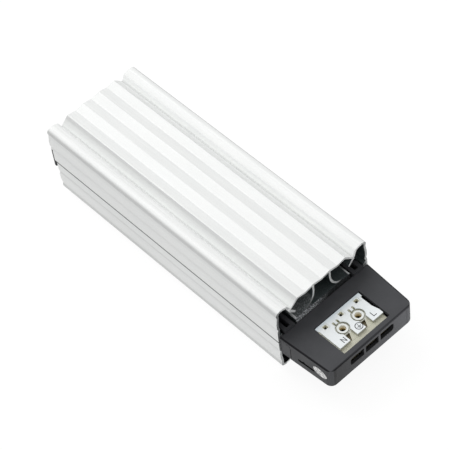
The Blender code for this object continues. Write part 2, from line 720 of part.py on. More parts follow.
def make_terminal_block(white):
    back = FRONT + BLOCK_BACK
    front = FRONT + BLOCK_FRONT
    flange_top = HOUSING_TOP - HOUSING_WALL - GAP
    shoulder = FRONT + BLOCK_SHOULDER_END
    waist = FRONT + BLOCK_WAIST_END
    wide = BLOCK_HALF + BLOCK_SHOULDER
    near_side = SIDE_LEDGE - wide
    far_wide = wide - LIVE_SIDE_ROOM
    far_narrow = BLOCK_HALF - LIVE_SIDE_ROOM
    corners = [(back, -wide), (shoulder, -wide), (shoulder, near_side), (front, near_side), (front, far_wide),
               (waist + BLOCK_RAMP, far_wide), (waist, far_narrow), (shoulder, far_narrow), (shoulder, far_wide),
               (back, far_wide)]
    body = extrusion("terminal_block", [fillet([(a, b, 0.0003) for a, b in corners])], UPRIGHT, BLOCK_BOTTOM,
                     BLOCK_TOP, white)
    flange = block("block_flange", (back - BLOCK_FLANGE, -BLOCK_HALF + CUT, BLOCK_BOTTOM + 2 * STAGGER),
                   (front + BLOCK_FLANGE, BLOCK_HALF - CUT, flange_top), None, CUTTERS)
    side_ledge = block("block_side_ledge", (shoulder - CUT, -wide, BLOCK_BOTTOM + CUT),
                       (front - GAP, CUT - BLOCK_HALF, BLOCK_TOP - SIDE_LEDGE_DROP), None, CUTTERS)
    join(body, flange, side_ledge)
    ledge = block("block_ledge", (FRONT + PAD_END, -HOUSING_ROOT_HALF, BLOCK_TOP - PAD_STEP),
                  (front + CUT, HOUSING_ROOT_HALF, BLOCK_TOP + CUT), None, CUTTERS)
    cut(body, ledge)
    for name, pole in POLES.items():
        cut(body, *pole_cutters(name, pole))
    for number, side in enumerate((-1, 1)):
        cut(body, *boss_cutters(number, side * POLE_PITCH / 2))
    smooth(body)


def pole_cutters(name, pole):
    """Test hole with its shallow rim, contact cavity and wire hole of one pole."""
    x = FRONT + TEST_HOLE_X
    half = TEST_HOLE / 2
    rim = TEST_RIM / 2
    high = BLOCK_TOP + CUT
    floor = BLOCK_BOTTOM + BLOCK_FLOOR
    yield block(f"test_rim_{name}", (x - rim, pole - rim, BLOCK_TOP - GAP), (x + rim, pole + rim, high), None, CUTTERS)
    yield block(f"test_hole_{name}", (x - half, pole - half, CAVITY_TOP - CUT), (x + half, pole + half, high), None,
                CUTTERS)
    yield block(f"cavity_{name}", (FRONT + BLOCK_BACK - BLOCK_FLANGE - CUT, pole - CAVITY_HALF, floor),
                (FRONT + CAVITY_END, pole + CAVITY_HALF, CAVITY_TOP), None, CUTTERS)
    yield block(f"wire_hole_{name}", (FRONT + CAVITY_END - CUT, pole - WIRE_HOLE_HALF, WIRE_HOLE_FLOOR),
                (FRONT + BLOCK_FRONT + BLOCK_FLANGE + CUT, pole + WIRE_HOLE_HALF, CAVITY_TOP), None, CUTTERS)


def boss_cutters(number, y):
    """Round recess with its boss and hole, forked slot and channel between two poles."""
    x = FRONT + BOSS_X
    high = BLOCK_TOP + CUT
    floor = BLOCK_TOP - CHANNEL_DEPTH
    boss_top = BLOCK_TOP - BOSS_DROP
    channel_half = POLE_PITCH / 2 - PAD_HALF
    rings = [arc((x, y), radius, 0, 345) for radius in (BOSS_RECESS, BOSS_RADIUS)]
    yield extrusion(f"boss_recess_{number}", rings, UPRIGHT, floor, high, None, CUTTERS)
    yield cylinder(f"boss_drop_{number}", BOSS_RADIUS + GAP, boss_top, high, (x, y))
    yield cylinder(f"boss_hole_{number}", BOSS_HOLE, BLOCK_BOTTOM - CUT, high, (x, y))
    mouth = (BOSS_RADIUS + BOSS_RECESS) / 2
    spread = math.degrees(math.asin(channel_half / mouth))
    channel = [(FRONT + PAD_END + CUT, y - channel_half), (FRONT + PAD_END + CUT, y + channel_half)]
    channel += arc((x, y), mouth, spread, -spread)
    yield extrusion(f"channel_{number}", [channel], UPRIGHT, floor - STAGGER, high, None, CUTTERS)
    for side in (-1, 1):
        prong = y + side * PRONG_OFFSET
        outline = rectangle(x - PRONG_REACH, prong - PRONG_HALF, x - mouth, prong + PRONG_HALF, PRONG_HALF)
        yield extrusion(f"prong_{number}_{side + 1}", [outline], UPRIGHT, floor + STAGGER, high, None, CUTTERS)
    wedge_start = x + BOSS_RADIUS + WEDGE_MARGIN
    wedge_end = FRONT + PAD_END - WEDGE_MARGIN
    foot = y - channel_half + 2 * STAGGER
    wedge = [(wedge_start, foot), (wedge_end, foot), (wedge_end, foot + WEDGE_NARROW), (wedge_start, foot + WEDGE_WIDE)]
    yield extrusion(f"wedge_{number}", [wedge], UPRIGHT, CAVITY_TOP - CUT, high, None, CUTTERS)


def contact_height():
    return BLOCK_BOTTOM + BLOCK_FLOOR + GAP


def contact_tail():
    return FRONT + BLOCK_BACK - BLOCK_FLANGE - CONTACT_TAIL


def make_contacts(copper, spring_steel):
    low = contact_height()
    tail = contact_tail()
    end = FRONT + CAVITY_END - GAP
    for name, pole in POLES.items():
        path = [(tail, low + CONTACT / 2, 0.0), (end - CONTACT / 2, low + CONTACT / 2, 0.0008),
                (end - CONTACT / 2, low + CONTACT_RISE, 0.0)]
        contact = extrusion(f"contact_bar_{name}", [strip(path, CONTACT)], CROSSWISE, -(pole + CONTACT_HALF),
                            -(pole - CONTACT_HALF), copper)
        smooth(contact)
        seat = low + CONTACT + GAP + SPRING / 2
        roof = CAVITY_TOP - GAP - SPRING / 2
        bend = FRONT + BLOCK_SHOULDER_END
        leaf = [(end - SPRING_FOOT, seat, 0.0), (bend, seat, 0.0012), (bend, roof, 0.0012),
                (bend + SPRING_CROWN, roof, 0.0030), (end - SPRING_TIP, seat + SPRING_TOE, 0.0)]
        spring = extrusion(f"clamp_spring_{name}", [strip(leaf, SPRING)], CROSSWISE, -(pole + SPRING_HALF),
                           -(pole - SPRING_HALF), spring_steel)
        smooth(spring)


# Leads and earth screw

def lead(name, points, material):
    """A round lead through hand-placed points, read off a smooth curve."""
    route = [Vector(point) for point in points]
    ends = [2 * route[0] - route[1]] + route + [2 * route[-1] - route[-2]]
    smoothed = []
    steps = 5
    for index in range(1, len(ends) - 2):
        before, start, end, after = ends[index - 1:index + 3]
        for step in range(steps):
            t = step / steps
            point = 0.5 * ((2 * start) + (end - before) * t + (2 * before - 5 * start + 4 * end - after) * t * t
                           + (3 * start - before - 3 * end + after) * t * t * t)
            smoothed.append(point)
    smoothed.append(route[-1])
    curve = bpy.data.curves.new(name + "_route", "CURVE")
    curve.dimensions = "3D"
    curve.bevel_depth = LEAD_RADIUS
    curve.bevel_resolution = 2
    curve.use_fill_caps = True
    spline = curve.splines.new("POLY")
    spline.points.add(len(smoothed) - 1)
    for point, place in zip(spline.points, smoothed):
        point.co = (*place, 1.0)
    tube = bpy.data.objects.new(name + "_route", curve)
    PARTS.objects.link(tube)
    solid = mesh_from_curve(tube, name)
    adopt(solid, material, PARTS)
    smooth(solid)


def make_leads(red, blue, green):
    tab_end = PROFILE_LENGTH - TAB_SETBACK + GAP
    tab_height = stone_half() + GAP + ELECTRODE / 2
    contact = contact_height() + CONTACT / 2
    tail = contact_tail() - GAP
    for name, side, colour in (("live", 1, red), ("neutral", -1, blue)):
        start = side * TAB_OFFSET
        pole = POLES[name]
        height = side * tab_height
        lead(f"lead_{name}", [(tab_end, start, height), (tab_end + 0.0009, start, height * 0.94),
                              (tab_end + 0.0032, start, height * 0.3),
                              (tail - 0.0045, (start + pole) / 2, (height + contact) / 2 - 0.0004),
                              (tail - 0.0015, pole, contact), (tail, pole, contact)], colour)
    lug_tail = FRONT + GAP + LUG + GAP
    tongue = -LUG_RADIUS - LUG_TONGUE + LEAD_RADIUS + GAP
    lead("lead_earth", [(lug_tail, tongue, earth_height()), (lug_tail + 0.0025, tongue, earth_height()),
                        (tail - 0.0035, tongue / 2, (earth_height() + contact) / 2), (tail - 0.0012, 0.0, contact),
                        (tail, 0.0, contact)], green)


def make_earth_screw(steel, copper):
    height = earth_height()
    ring = [(LUG_RADIUS * math.cos(a), height + LUG_RADIUS * math.sin(a)) for a in
            [math.radians(angle) for angle in range(-155, 156, 10)]]
    tongue_half = LUG_RADIUS * math.sin(math.radians(25))
    ring += [(-LUG_RADIUS - LUG_TONGUE, height + tongue_half), (-LUG_RADIUS - LUG_TONGUE, height - tongue_half)]
    hole = [(a, height + b) for a, b in arc((0.0, 0.0), EARTH_SHANK + GAP, 0, 345)]
    extrusion("earth_lug", [ring, hole], LENGTHWISE, FRONT + GAP, FRONT + GAP + LUG, copper)
    head_low = 2 * GAP + LUG
    profile = [(0.0, head_low + EARTH_HEAD_HEIGHT), (EARTH_HEAD * 0.7, head_low + EARTH_HEAD_HEIGHT),
               (EARTH_HEAD, head_low + EARTH_HEAD_HEIGHT * 0.5), (EARTH_HEAD, head_low), (EARTH_SHANK, head_low),
               (EARTH_SHANK, 0.0005 - EARTH_DEPTH), (EARTH_SHANK * 0.6, -EARTH_DEPTH), (0.0, -EARTH_DEPTH)]
    place = Matrix.Translation((FRONT, 0.0, height)) @ LENGTHWISE
    screw = turned("earth_screw", profile, place, steel, None, 20)
    smooth(screw)


# Rear cap

def make_rear_cap(plastic):
    outer = rectangle(-CAP_HALF_WIDTH, CAP_BOTTOM, CAP_HALF_WIDTH, CAP_TOP, 0.0006)
    cap = extrusion("rear_cap", [outer], LENGTHWISE, CAP_RECESS, CAP_RECESS + CAP_THICKNESS, plastic)
    step = block("cap_step", (CAP_RECESS + CAP_THICKNESS * 0.3, GAP - CAP_HALF_WIDTH, CAP_STEP_BOTTOM),
                 (LOWER_SETBACK - GAP, LEG_OUTER + GAP, -SEAM_OFFSET - GAP), None, CUTTERS)
    join(cap, step)
    legs("cap", cap, CAP_RECESS + CAP_THICKNESS / 2, LEG_REACH, LOWER_SETBACK, LEG_REACH + CUT)
    smooth(cap)


# Rail clip

def clip_middle():
    return PROFILE_LENGTH / 2 + CLIP_SHIFT


def clip_top():
    return -(CREST_HEIGHT + GAP)


def clip_bottom():
    return clip_top() - 2 * CLIP - RAIL_GAP


def rivet_places():
    return [clip_middle() + side * RIVET_SPACING / 2 for side in (-1, 1)]


def make_clip(spring_steel):
    """Flat base with a hook at each end, and a release tab behind the right hook."""
    top = clip_top()
    under = top - CLIP
    lip_top = under - RAIL_GAP
    low = clip_bottom()
    inner = RAIL_WIDTH / 2 + RAIL_PLAY
    outer = inner + CLIP
    tip = inner - CLIP_LIP
    tab = outer + CLIP_TAB
    middle = clip_middle()
    bend = 0.0008
    corners = [(-outer, top, bend), (outer, top, bend), (outer, lip_top, 0.0), (tab, lip_top, 0.0003),
               (tab, low, 0.0003), (tip, low, 0.0003), (tip, lip_top, 0.0003), (inner, lip_top, 0.0),
               (inner, under, 0.0), (-inner, under, 0.0), (-inner, lip_top, 0.0), (-tip, lip_top, 0.0003),
               (-tip, low, 0.0003), (-outer, low, bend)]
    outline = fillet([(middle + a, b, radius) for a, b, radius in corners])
    clip = extrusion("din_clip", [outline], CROSSWISE, -CLIP_HALF_WIDTH, CLIP_HALF_WIDTH, spring_steel)
    for number, x in enumerate(rivet_places()):
        hole = cylinder(f"clip_hole_{number}", RIVET_SHANK + GAP, under - CUT, top + CUT, (x, 0.0))
        cut(clip, hole)
    smooth(clip)


def make_rivets(steel):
    under = clip_top() - CLIP - GAP
    inside = -(CREST_HEIGHT - RIB_DEPTH - SKIN) + GAP + RIB_DEPTH
    for number, x in enumerate(rivet_places()):
        head = under - RIVET_HEAD_HEIGHT
        profile = [(0.0, inside + RIVET_TAIL_HEIGHT), (RIVET_TAIL * 0.7, inside + RIVET_TAIL_HEIGHT),
                   (RIVET_TAIL, inside + RIVET_TAIL_HEIGHT * 0.6), (RIVET_TAIL, inside), (RIVET_SHANK, inside),
                   (RIVET_SHANK, under), (RIVET_HEAD, under), (RIVET_HEAD, head + RIVET_HEAD_HEIGHT * 0.5),
                   (RIVET_HEAD * 0.7, head), (0.0, head)]
        rivet = turned(f"clip_rivet_{number + 1}", profile, Matrix.Translation((x, 0.0, 0.0)), steel, None, 20)
        smooth(rivet)


def build():
    aluminium = make_material("anodised_aluminium", (0.80, 0.81, 0.81), 0.35, 1.0)
    plastic = make_material("black_plastic", (0.045, 0.045, 0.05), 0.5)
    white = make_material("block_plastic", (0.82, 0.82, 0.80), 0.45)
    copper = make_material("contact_metal", (0.75, 0.60, 0.40), 0.35, 1.0)
    spring_steel = make_material("spring_steel", (0.60, 0.60, 0.60), 0.3, 1.0)
    ceramic = make_material("ptc_ceramic", (0.25, 0.24, 0.24), 0.8)
    film = make_material("insulation_film", (0.70, 0.42, 0.12), 0.4)
    red = make_material("lead_live", (0.45, 0.05, 0.04), 0.5)
    blue = make_material("lead_neutral", (0.05, 0.12, 0.45), 0.5)
    green = make_material("lead_earth", (0.10, 0.40, 0.10), 0.5)
    make_profiles(aluminium)
    make_pack(ceramic, copper, film)
    make_housing_cover(plastic)
    make_housing_base(plastic)
    make_terminal_block(white)
    make_contacts(copper, spring_steel)
    make_leads(red, blue, green)
    make_earth_screw(spring_steel, copper)
    make_rear_cap(plastic)
    make_clip(spring_steel)
    make_rivets(spring_steel)
    ROOT.location = (-(FRONT + HOUSING_LENGTH) / 2, 0.0, -clip_bottom())
    bpy.context.view_layer.update()


build()
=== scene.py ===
"""Looks for the enclosure heater: surfaces, printed marks, sticker, camera, floor and light.

Lengths are metres. Places on the heater are given in the section frame of the CAD source:
x = 0 at the far end of the upper half, y = 0 and z = 0 in the middle of the joint between the
halves. OFFSET leads from there to the world frame, in which the CAD nodes load.
"""
import json
import math

import bmesh
import bpy
from mathutils import Matrix, Vector


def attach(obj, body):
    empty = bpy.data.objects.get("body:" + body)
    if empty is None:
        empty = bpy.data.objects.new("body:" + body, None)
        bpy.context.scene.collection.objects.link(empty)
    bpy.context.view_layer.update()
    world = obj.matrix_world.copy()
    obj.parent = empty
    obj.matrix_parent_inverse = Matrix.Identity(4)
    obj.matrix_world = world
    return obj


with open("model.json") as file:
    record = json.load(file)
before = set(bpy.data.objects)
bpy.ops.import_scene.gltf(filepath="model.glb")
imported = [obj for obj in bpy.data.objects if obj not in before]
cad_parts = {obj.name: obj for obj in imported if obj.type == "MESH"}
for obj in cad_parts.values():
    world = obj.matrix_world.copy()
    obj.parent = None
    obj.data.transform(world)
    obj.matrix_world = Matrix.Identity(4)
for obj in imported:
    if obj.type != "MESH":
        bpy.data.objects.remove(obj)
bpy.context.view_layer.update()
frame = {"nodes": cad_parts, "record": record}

# Sizes of the CAD source that the looks follow
PROFILE_LENGTH = 0.1895
HOUSING_LENGTH = 0.0368
HOUSING_TOP = 0.0041
HOUSING_ROOT_HALF = 0.0337
HOUSING_TAPER = 0.0025
SIDE_STEP_LENGTH = 0.0077
SIDE_STEP_TOP = 0.0014
STEP_ROUNDING = 0.0025
BLOCK_BACK = 0.0104
BLOCK_TOP = 0.0037
TEST_HOLE_X = 0.0133
BOSS_X = 0.0205
POLE_PITCH = 0.0118
SEAM = 0.00095
OFFSET = Vector((-(PROFILE_LENGTH + HOUSING_LENGTH) / 2, 0.0, 0.0287))

X, Y, Z = range(3)
SHARP = 0.0001                  # blur at the ends of a region that should look crisp
NOISE_RUN = (0.3, 0.7)          # where most values of a noise lie
FACING_RUN = (0.5, 0.8)         # how far a face looks along an axis, from not facing it to facing it
STEEP_RUN = (0.45, 0.60)        # the same across the extrusion, from level to steep
NEAR_LEAN = (-0.01, 0.01)       # from leaning a little to the near side to leaning away from it
NEAR_FLANK = (-0.2, 0.2)        # the same for steep faces
MIDDLE_RUN = (-0.001, 0.001)    # from one half of the section to the other

# A region is a list of limits: direction, low end, high end and blur. Across and height are the
# sizes of y and z. On the housing, along runs from its root, and to_side and to_front lead inwards.

# Outer faces of the extrusion, where their painted light and shade go
OUTER_REGIONS = {
    "groove": [("across", 0.0229, 0.0238, 0.0003), ("height", 0.0180, 0.0206, 0.0004)],
    "bead_edge": [("across", 0.0331, 0.0350, SHARP), ("z", 0.0210, 0.0236, 0.0006)],
    "low_edge": [("across", 0.0331, 0.0350, SHARP), ("z", -0.0236, -0.0204, 0.0004)],
    "far_edge": [("y", 0.0328, 0.0350, 0.0004), ("z", 0.0210, 0.0250, SHARP)],
    "side": [("across", 0.0334, 0.0350, SHARP), ("z", -0.0250, 0.0180, 0.0004)],
    "side_lines": [("across", 0.0322, 0.0350, SHARP), ("height", 0.0084, 0.0104, 0.0004)],
}
CREST_START = (0.0224, 0.0228)
CREST_REGIONS = {
    "bead_top": [("across", 0.0292, 0.0334, 0.0006)],
    "near_bead": [("y", -0.0284, -0.0262, 0.0004)],
    "near_crest": [("y", -0.0320, -0.0298, 0.0006)],
    "far_bead": [("y", 0.0250, 0.0294, 0.0004)],
    "flat_top": [("y", -0.0186, 0.0186, SHARP)],
    "slope_top": [("y", -0.0196, -0.0180, 0.0004)],
}
TROUGH = [("z", 0.0182, 0.0242, SHARP)]
TROUGH_BOTTOM = (0.0203, 0.0206)
TROUGH_REGIONS = {
    "near_trough": [("y", -0.0264, -0.0228, SHARP)],
    "near_slope": [("y", -0.0227, -0.0186, SHARP)],
    "far_trough": [("y", 0.0186, 0.0262, SHARP)],
}
NEAR_SLOPE_RUN = (-0.0226, -0.0196)
BEAD_FALL = (-0.0334, -0.0298)
SEAM_REGION = [("across", 0.0330, 0.0350, SHARP)]
SEAM_HALF = 0.00065

# Painted light and shade on each part of the outer faces, against the plain surface, and the dark seam
OUTER_PAINTED_LIGHT_AND_SEAM = {
    "groove": 0.80, "bead_edge": 0.80, "bead_fall": 0.85, "side": 1.045, "seam": 0.30,
    "near_bead": 1.10, "leaning": 0.85, "near_top": 0.93, "far_bead": 0.84, "level": 0.975,
    "side_lines": 0.91, "near_trough": 1.01, "far_flank": 1.08, "far_slope": 0.91,
    "slope_top": 0.92, "low_edge": 0.80, "far_edge": 0.66, "near_crest": 0.94,
}
# Side lines in painted shade, weaker on the upper half; near slope painted darker at its top, lighter below
HIGH_SIDE_LINES = 0.45              # strength of the side lines on the upper half
NEAR_SLOPE_SHADE = (-0.06, 0.11)     # from the trough's bottom to the top of its slope
GRAIN_TONES = (0.965, 1.035)
GRAIN_RUN = (0.35, 0.65)
STREAK_STOPS = [(0.30, (0.84, 0.85, 0.845)), (0.62, (0.89, 0.90, 0.89))]
CLOUD_COLOUR = (0.83, 0.845, 0.84)
CLOUD_SHARE = 0.35
CLOUD_RUN = (0.35, 0.7)

# Faces that the camera meets at a low angle are matt and even, or they glitter. Bright faces are
# less metallic than the rest.
EXTRUSION_ROUGHNESS = (0.42, 0.54)
GRAZED_ROUGHNESS = 0.95
EXTRUSION_METALLIC = 0.70
GRAZED_DULLING = 0.9
BRIGHT_DULLING = 0.6

# Walls inside the extrusion, and its cut ends, with their painted light and shade
LOW_BAY = [("z", -0.0188, 0.0188, SHARP), ("y", -0.0332, 0.0332, SHARP)]
HIGH_BAY = [("z", -0.0225, 0.0225, SHARP), ("y", -0.0190, 0.0190, SHARP)]
BEAD_BAY = [("z", -0.0236, 0.0236, SHARP), ("across", 0.0266, 0.0330, SHARP)]
PLATE_TOP = 0.0079
PLATE_EDGE = [("across", 0.0196, 0.0212, SHARP), ("z", 0.0066, 0.0080, SHARP)]
PLATE_EDGE_RUN = (PROFILE_LENGTH - 0.0060, PROFILE_LENGTH - 0.0025)
NEAR_BAY = [("y", -0.0205, -0.0075, SHARP)]
NEAR_BAY_START = (0.0072, 0.0074)
NEAR_BAY_RUN = (PROFILE_LENGTH - 0.0250, PROFILE_LENGTH - 0.0060)
LOW_SIDE = (-0.012, -0.006)
PLATE_END = [("y", -0.0215, 0.0215, SHARP), ("z", -0.0070, 0.0082, SHARP)]
PLATE_END_RUN = (-0.007, 0.004)
WEB_FOOT = [("y", -0.0200, -0.0070, SHARP)]
WEB_FOOT_START = (0.0078, 0.0081)
WEB_FOOT_END = (0.0100, 0.0160)
WALL_END = [("across", 0.0303, 0.0350, SHARP)]
LEVEL_END_LIGHT = 0.25              # how far a cut end level with the plate looks like an outer face
INNER_SHADE_STOPS = [(0.42, (0.022, 0.030, 0.031)), (0.56, (0.040, 0.052, 0.053)), (0.72, (0.17, 0.19, 0.19))]
LOW_SIDE_SHADE = 0.12
SPECKLE_RUN = (0.51, 0.58)
NEAR_BAY_LIGHT_COLOURS = ((0.070, 0.079, 0.081), (0.19, 0.205, 0.207))
PLATE_EDGE_HIGHLIGHT_COLOURS = ((0.30, 0.31, 0.31), (0.90, 0.92, 0.92))
PLATE_EDGE_COVER = (0.15, 1.0)      # from further in to the open end
PLATE_END_LIGHT_AND_SHADE = ((0.30, 0.31, 0.32), (0.022, 0.024, 0.025))
PLATE_END_TONES = (0.30, 3.0)
WEB_FOOT_SHADE_COLOUR = (0.06, 0.065, 0.066)
WALL_END_LIGHT_COLOURS = ((0.14, 0.15, 0.15), (0.50, 0.51, 0.51))
END_COVER = 0.75                    # how far the web's foot and the wall's end are covered

# Housing, with its painted light and shade
HOUSING_COLOURS = ((0.056, 0.058, 0.063), (0.070, 0.071, 0.077))
HOUSING_ROUGHNESS = (0.44, 0.56)
HOUSING_PAINTED_SHADE = {"side_face": 0.76, "step_line": 0.02, "latch_slot": 0.02, "wire_slots": 0.35}
ROOT_RUN = (0.0, HOUSING_LENGTH * 0.8)
ROOT_SHADE_TONES = (0.75, 0.92)
FRONT_LIGHT_AND_SHADE = (0.30, 2.05)
PAINTED_RIM_REFLECTION = (0.014, 0.014, 0.016)
SIDE_RIM_COVER = (0.60, 1.0)
RIM_WIDTH = (0.0007, 0.0010)
RIM_DEPTH = (HOUSING_TOP - 0.0011, HOUSING_TOP - 0.0007)
SIDE_RIM_RUN = (0.0, 0.003)
FRONT_FACE = [("to_front", -0.0010, 0.0003, SHARP)]
FRONT_RUN = (-0.028, 0.028)
SIDE_FACE = [("to_side", -0.0010, 0.0003, SHARP)]
SIDE_FACE_END = (0.0024, 0.0032)
STEP_LINE_HALF = 0.0005
STEP_LINE_DEPTH = (0.0016, 0.0020)
STEP_LINE_START = (0.0040, 0.0056)
LATCH_SLOT = [("to_side", -0.0006, 0.0026, SHARP), ("z", -0.0061, -0.0041, SHARP),
              ("along", 0.0132, 0.0248, SHARP)]
WIRE_SLOTS = [("to_front", 0.0003, 0.0060, 0.0002), ("z", -0.0054, 0.0014, SHARP),
              ("y", -0.0172, 0.0172, SHARP)]

# Terminal block, with painted light and shade; its recesses' painted shade by depth, as shares of DEEPEST
TOP_COLOURS = ((0.80, 0.84, 0.85), (0.86, 0.89, 0.90))
BLOCK_ROUGHNESS = (0.36, 0.46)
BACK_STRIP_REFLECTION = (0.66, 0.74, 0.79)
EDGE_LINE_SHADE = (0.36, 0.37, 0.34)
EDGE_LINE_COVER = 0.6
RECESS_WALL_SHADE = 0.78
BOSS_RING_LIGHT = (0.82, 0.83, 0.77)
TEST_HOLE_LIGHT = (0.90, 0.88, 0.72)
TEST_HOLE_COVER = 0.85
DEEPEST = 0.0060
RECESS_SHADE_STOPS = [(0.06, (0.80, 0.81, 0.76)), (0.12, (0.62, 0.63, 0.53)), (0.36, (0.56, 0.555, 0.45)),
                (0.54, (0.21, 0.175, 0.095)), (0.90, (0.10, 0.085, 0.045))]
HOLE_LIGHT_AND_SHADE_STOPS = [(0.30, (0.93, 0.90, 0.78)), (0.46, (0.92, 0.82, 0.58)), (0.57, (0.88, 0.70, 0.36)),
              (0.69, (0.28, 0.21, 0.08)), (0.84, (0.05, 0.04, 0.02))]
RECESS_START = (0.0002, 0.0006)
BACK_STRIP_RUN = (0.0, 0.0035)
EDGE_LINE = (0.00004, 0.00026, 0.00002)
BOSS_RING = (0.0030, 0.0045)
BOSS_DEPTH = (0.0021, 0.0026)
CLAMP_HOLE = (0.0014, 0.0024)
TEST_HOLE_HALF = 0.0014


def place(x, y, z):
    return Vector((x, y, z)) + OFFSET


# Node helpers

def new_material(name):
    material = bpy.data.materials.new(name)
    material.use_nodes = True
    tree = material.node_tree
    return material, tree, tree.nodes["Principled BSDF"]


def add(tree, kind, **values):
    node = tree.nodes.new(kind)
    for key, value in values.items():
        setattr(node, key, value)
    return node


def feed(tree, shader, socket, value):
    tree.links.new(value, shader.inputs[socket])


def coordinates(tree, scale=(1.0, 1.0, 1.0)):
    source = add(tree, "ShaderNodeTexCoord")
    mapping = add(tree, "ShaderNodeMapping")
    mapping.inputs["Scale"].default_value = scale
    tree.links.new(source.outputs["Object"], mapping.inputs["Vector"])
    return mapping.outputs["Vector"]


def noise(tree, vector, scale, detail, roughness):
    node = add(tree, "ShaderNodeTexNoise")
    node.inputs["Scale"].default_value = scale
    node.inputs["Detail"].default_value = detail
    node.inputs["Roughness"].default_value = roughness
    tree.links.new(vector, node.inputs["Vector"])
    return node.outputs["Fac"]


def ramp(tree, value, stops):
    node = add(tree, "ShaderNodeValToRGB")
    elements = node.color_ramp.elements
    while len(elements) < len(stops):
        elements.new(0.5)
    for element, (position, colour) in zip(elements, stops):
        element.position = position
        element.color = (*colour, 1.0)
    tree.links.new(value, node.inputs["Fac"])
    return node.outputs["Color"]


def span(tree, value, low, high, start=0.0, end=1.0):
    """Runs from low, where the value is at the start, to high, where it is at the end."""
    node = add(tree, "ShaderNodeMapRange")
    node.inputs["From Min"].default_value = start
    node.inputs["From Max"].default_value = end
    node.inputs["To Min"].default_value = low
    node.inputs["To Max"].default_value = high
    tree.links.new(value, node.inputs["Value"])
    return node.outputs["Result"]


def rising(tree, value, start, end):
    return span(tree, value, 0.0, 1.0, start, end)


def falling(tree, value, start, end):
    return span(tree, value, 1.0, 0.0, start, end)


def mix(tree, factor, first, second, blend="MIX"):
    node = add(tree, "ShaderNodeMix", data_type="RGBA", blend_type=blend)
    for name, value in (("Factor_Float", factor), ("A_Color", first), ("B_Color", second)):
        socket = next(item for item in node.inputs if item.identifier == name)
        if isinstance(value, bpy.types.NodeSocket):
            tree.links.new(value, socket)
        elif name == "Factor_Float":
            socket.default_value = value
        else:
            socket.default_value = (*value, 1.0)
    return next(item for item in node.outputs if item.identifier == "Result_Color")


def calculate(tree, operation, *values):
    node = add(tree, "ShaderNodeMath", operation=operation)
    for socket, value in zip(node.inputs, values):
        if isinstance(value, bpy.types.NodeSocket):
            tree.links.new(value, socket)
        else:
            socket.default_value = value
    return node.outputs["Value"]


def product(tree, *values):
    result = values[0]
    for value in values[1:]:
        result = calculate(tree, "MULTIPLY", result, value)
    return result


def largest(tree, *values):
    result = values[0]
    for value in values[1:]:
        result = calculate(tree, "MAXIMUM", result, value)
    return result


def minus(tree, first, second):
    return calculate(tree, "SUBTRACT", first, second)


def size_of(tree, value):
    return calculate(tree, "ABSOLUTE", value)


def opposite(tree, mask):
    """1 where the mask is 0, and 0 where it is 1."""
    return minus(tree, 1.0, mask)


def distance(tree, first, second):
    """How long a way is whose two legs stand square on each other."""
    squares = calculate(tree, "ADD", product(tree, first, first), product(tree, second, second))
    return calculate(tree, "SQRT", squares)


def within(tree, value, limit, blur=SHARP):
    """1 where the value's size is below the limit, 0 above it."""
    return falling(tree, size_of(tree, value), limit - blur, limit + blur)


def between(tree, value, low, high, blur=SHARP):
    """1 where the value lies from low to high, 0 outside."""
    return within(tree, minus(tree, value, (low + high) / 2), (high - low) / 2, blur)


def section_place(tree):
    """Where a shaded point lies in the section frame, as sockets by direction."""
    source = add(tree, "ShaderNodeTexCoord")
    split = add(tree, "ShaderNodeSeparateXYZ")
    tree.links.new(source.outputs["Object"], split.inputs["Vector"])
    x, y, z = [minus(tree, split.outputs[axis], OFFSET[axis]) for axis in (X, Y, Z)]
    return {"x": x, "y": y, "z": z, "across": size_of(tree, y), "height": size_of(tree, z)}


def region(tree, spot, limits):
    """1 inside all the limits, 0 outside."""
    return product(tree, *[between(tree, spot[way], low, high, blur) for way, low, high, blur in limits])


def shade(tree, mask, factor):
    """1 where the mask is 0, changing to the factor where it is 1."""
    return span(tree, mask, 1.0, factor)


def grey(tree, value):
    """A grey whose brightness is the given value."""
    node = add(tree, "ShaderNodeCombineColor")
    for socket in node.inputs:
        tree.links.new(value, socket)
    return node.outputs["Color"]


def toned(tree, colour, brightness):
    return mix(tree, 1.0, colour, grey(tree, brightness), "MULTIPLY")


def slope(tree, axis):
    """How far a face looks along the axis, from -1 to 1."""
    source = add(tree, "ShaderNodeNewGeometry")
    split = add(tree, "ShaderNodeSeparateXYZ")
    tree.links.new(source.outputs["True Normal"], split.inputs["Vector"])
    return split.outputs[axis]


def facing(tree, axis):
    """1 on faces that look along the axis, either way, 0 on the others."""
    return rising(tree, size_of(tree, slope(tree, axis)), *FACING_RUN)


def bump(tree, shader, height, strength, depth):
    node = add(tree, "ShaderNodeBump")
    node.inputs["Strength"].default_value = strength
    node.inputs["Distance"].default_value = depth
    tree.links.new(height, node.inputs["Height"])
    feed(tree, shader, "Normal", node.outputs["Normal"])


# Materials

PLASTIC_SPREAD = (0.90, 1.12)       # the ends of a roughness, as shares of the one that is given
METAL_SPREAD = (0.85, 1.15)
METAL_RUN = (0.25, 0.75)


def mottled(tree, value, darker, colour, run=NOISE_RUN):
    """From the darker tone to the colour as the noise value goes up."""
    return ramp(tree, value, list(zip(run, (darker, colour))))


def uneven(tree, shader, value, low, high):
    """Roughness from low to high as the noise value goes up."""
    feed(tree, shader, "Roughness", span(tree, value, low, high, *NOISE_RUN))


def fine_texture(tree, shader, vector, scale=2600.0, strength=0.35, depth=0.00002):
    bump(tree, shader, noise(tree, vector, scale, detail=2.0, roughness=0.5), strength, depth)


def moulded(name, colour, darker, roughness):
    """A moulded plastic: slight mottling, uneven sheen and a fine texture."""
    material, tree, shader = new_material(name)
    vector = coordinates(tree)
    mottling = noise(tree, vector, scale=90.0, detail=5.0, roughness=0.6)
    feed(tree, shader, "Base Color", mottled(tree, mottling, darker, colour))
    uneven(tree, shader, mottling, *[roughness * share for share in PLASTIC_SPREAD])
    fine_texture(tree, shader, vector)
    return material


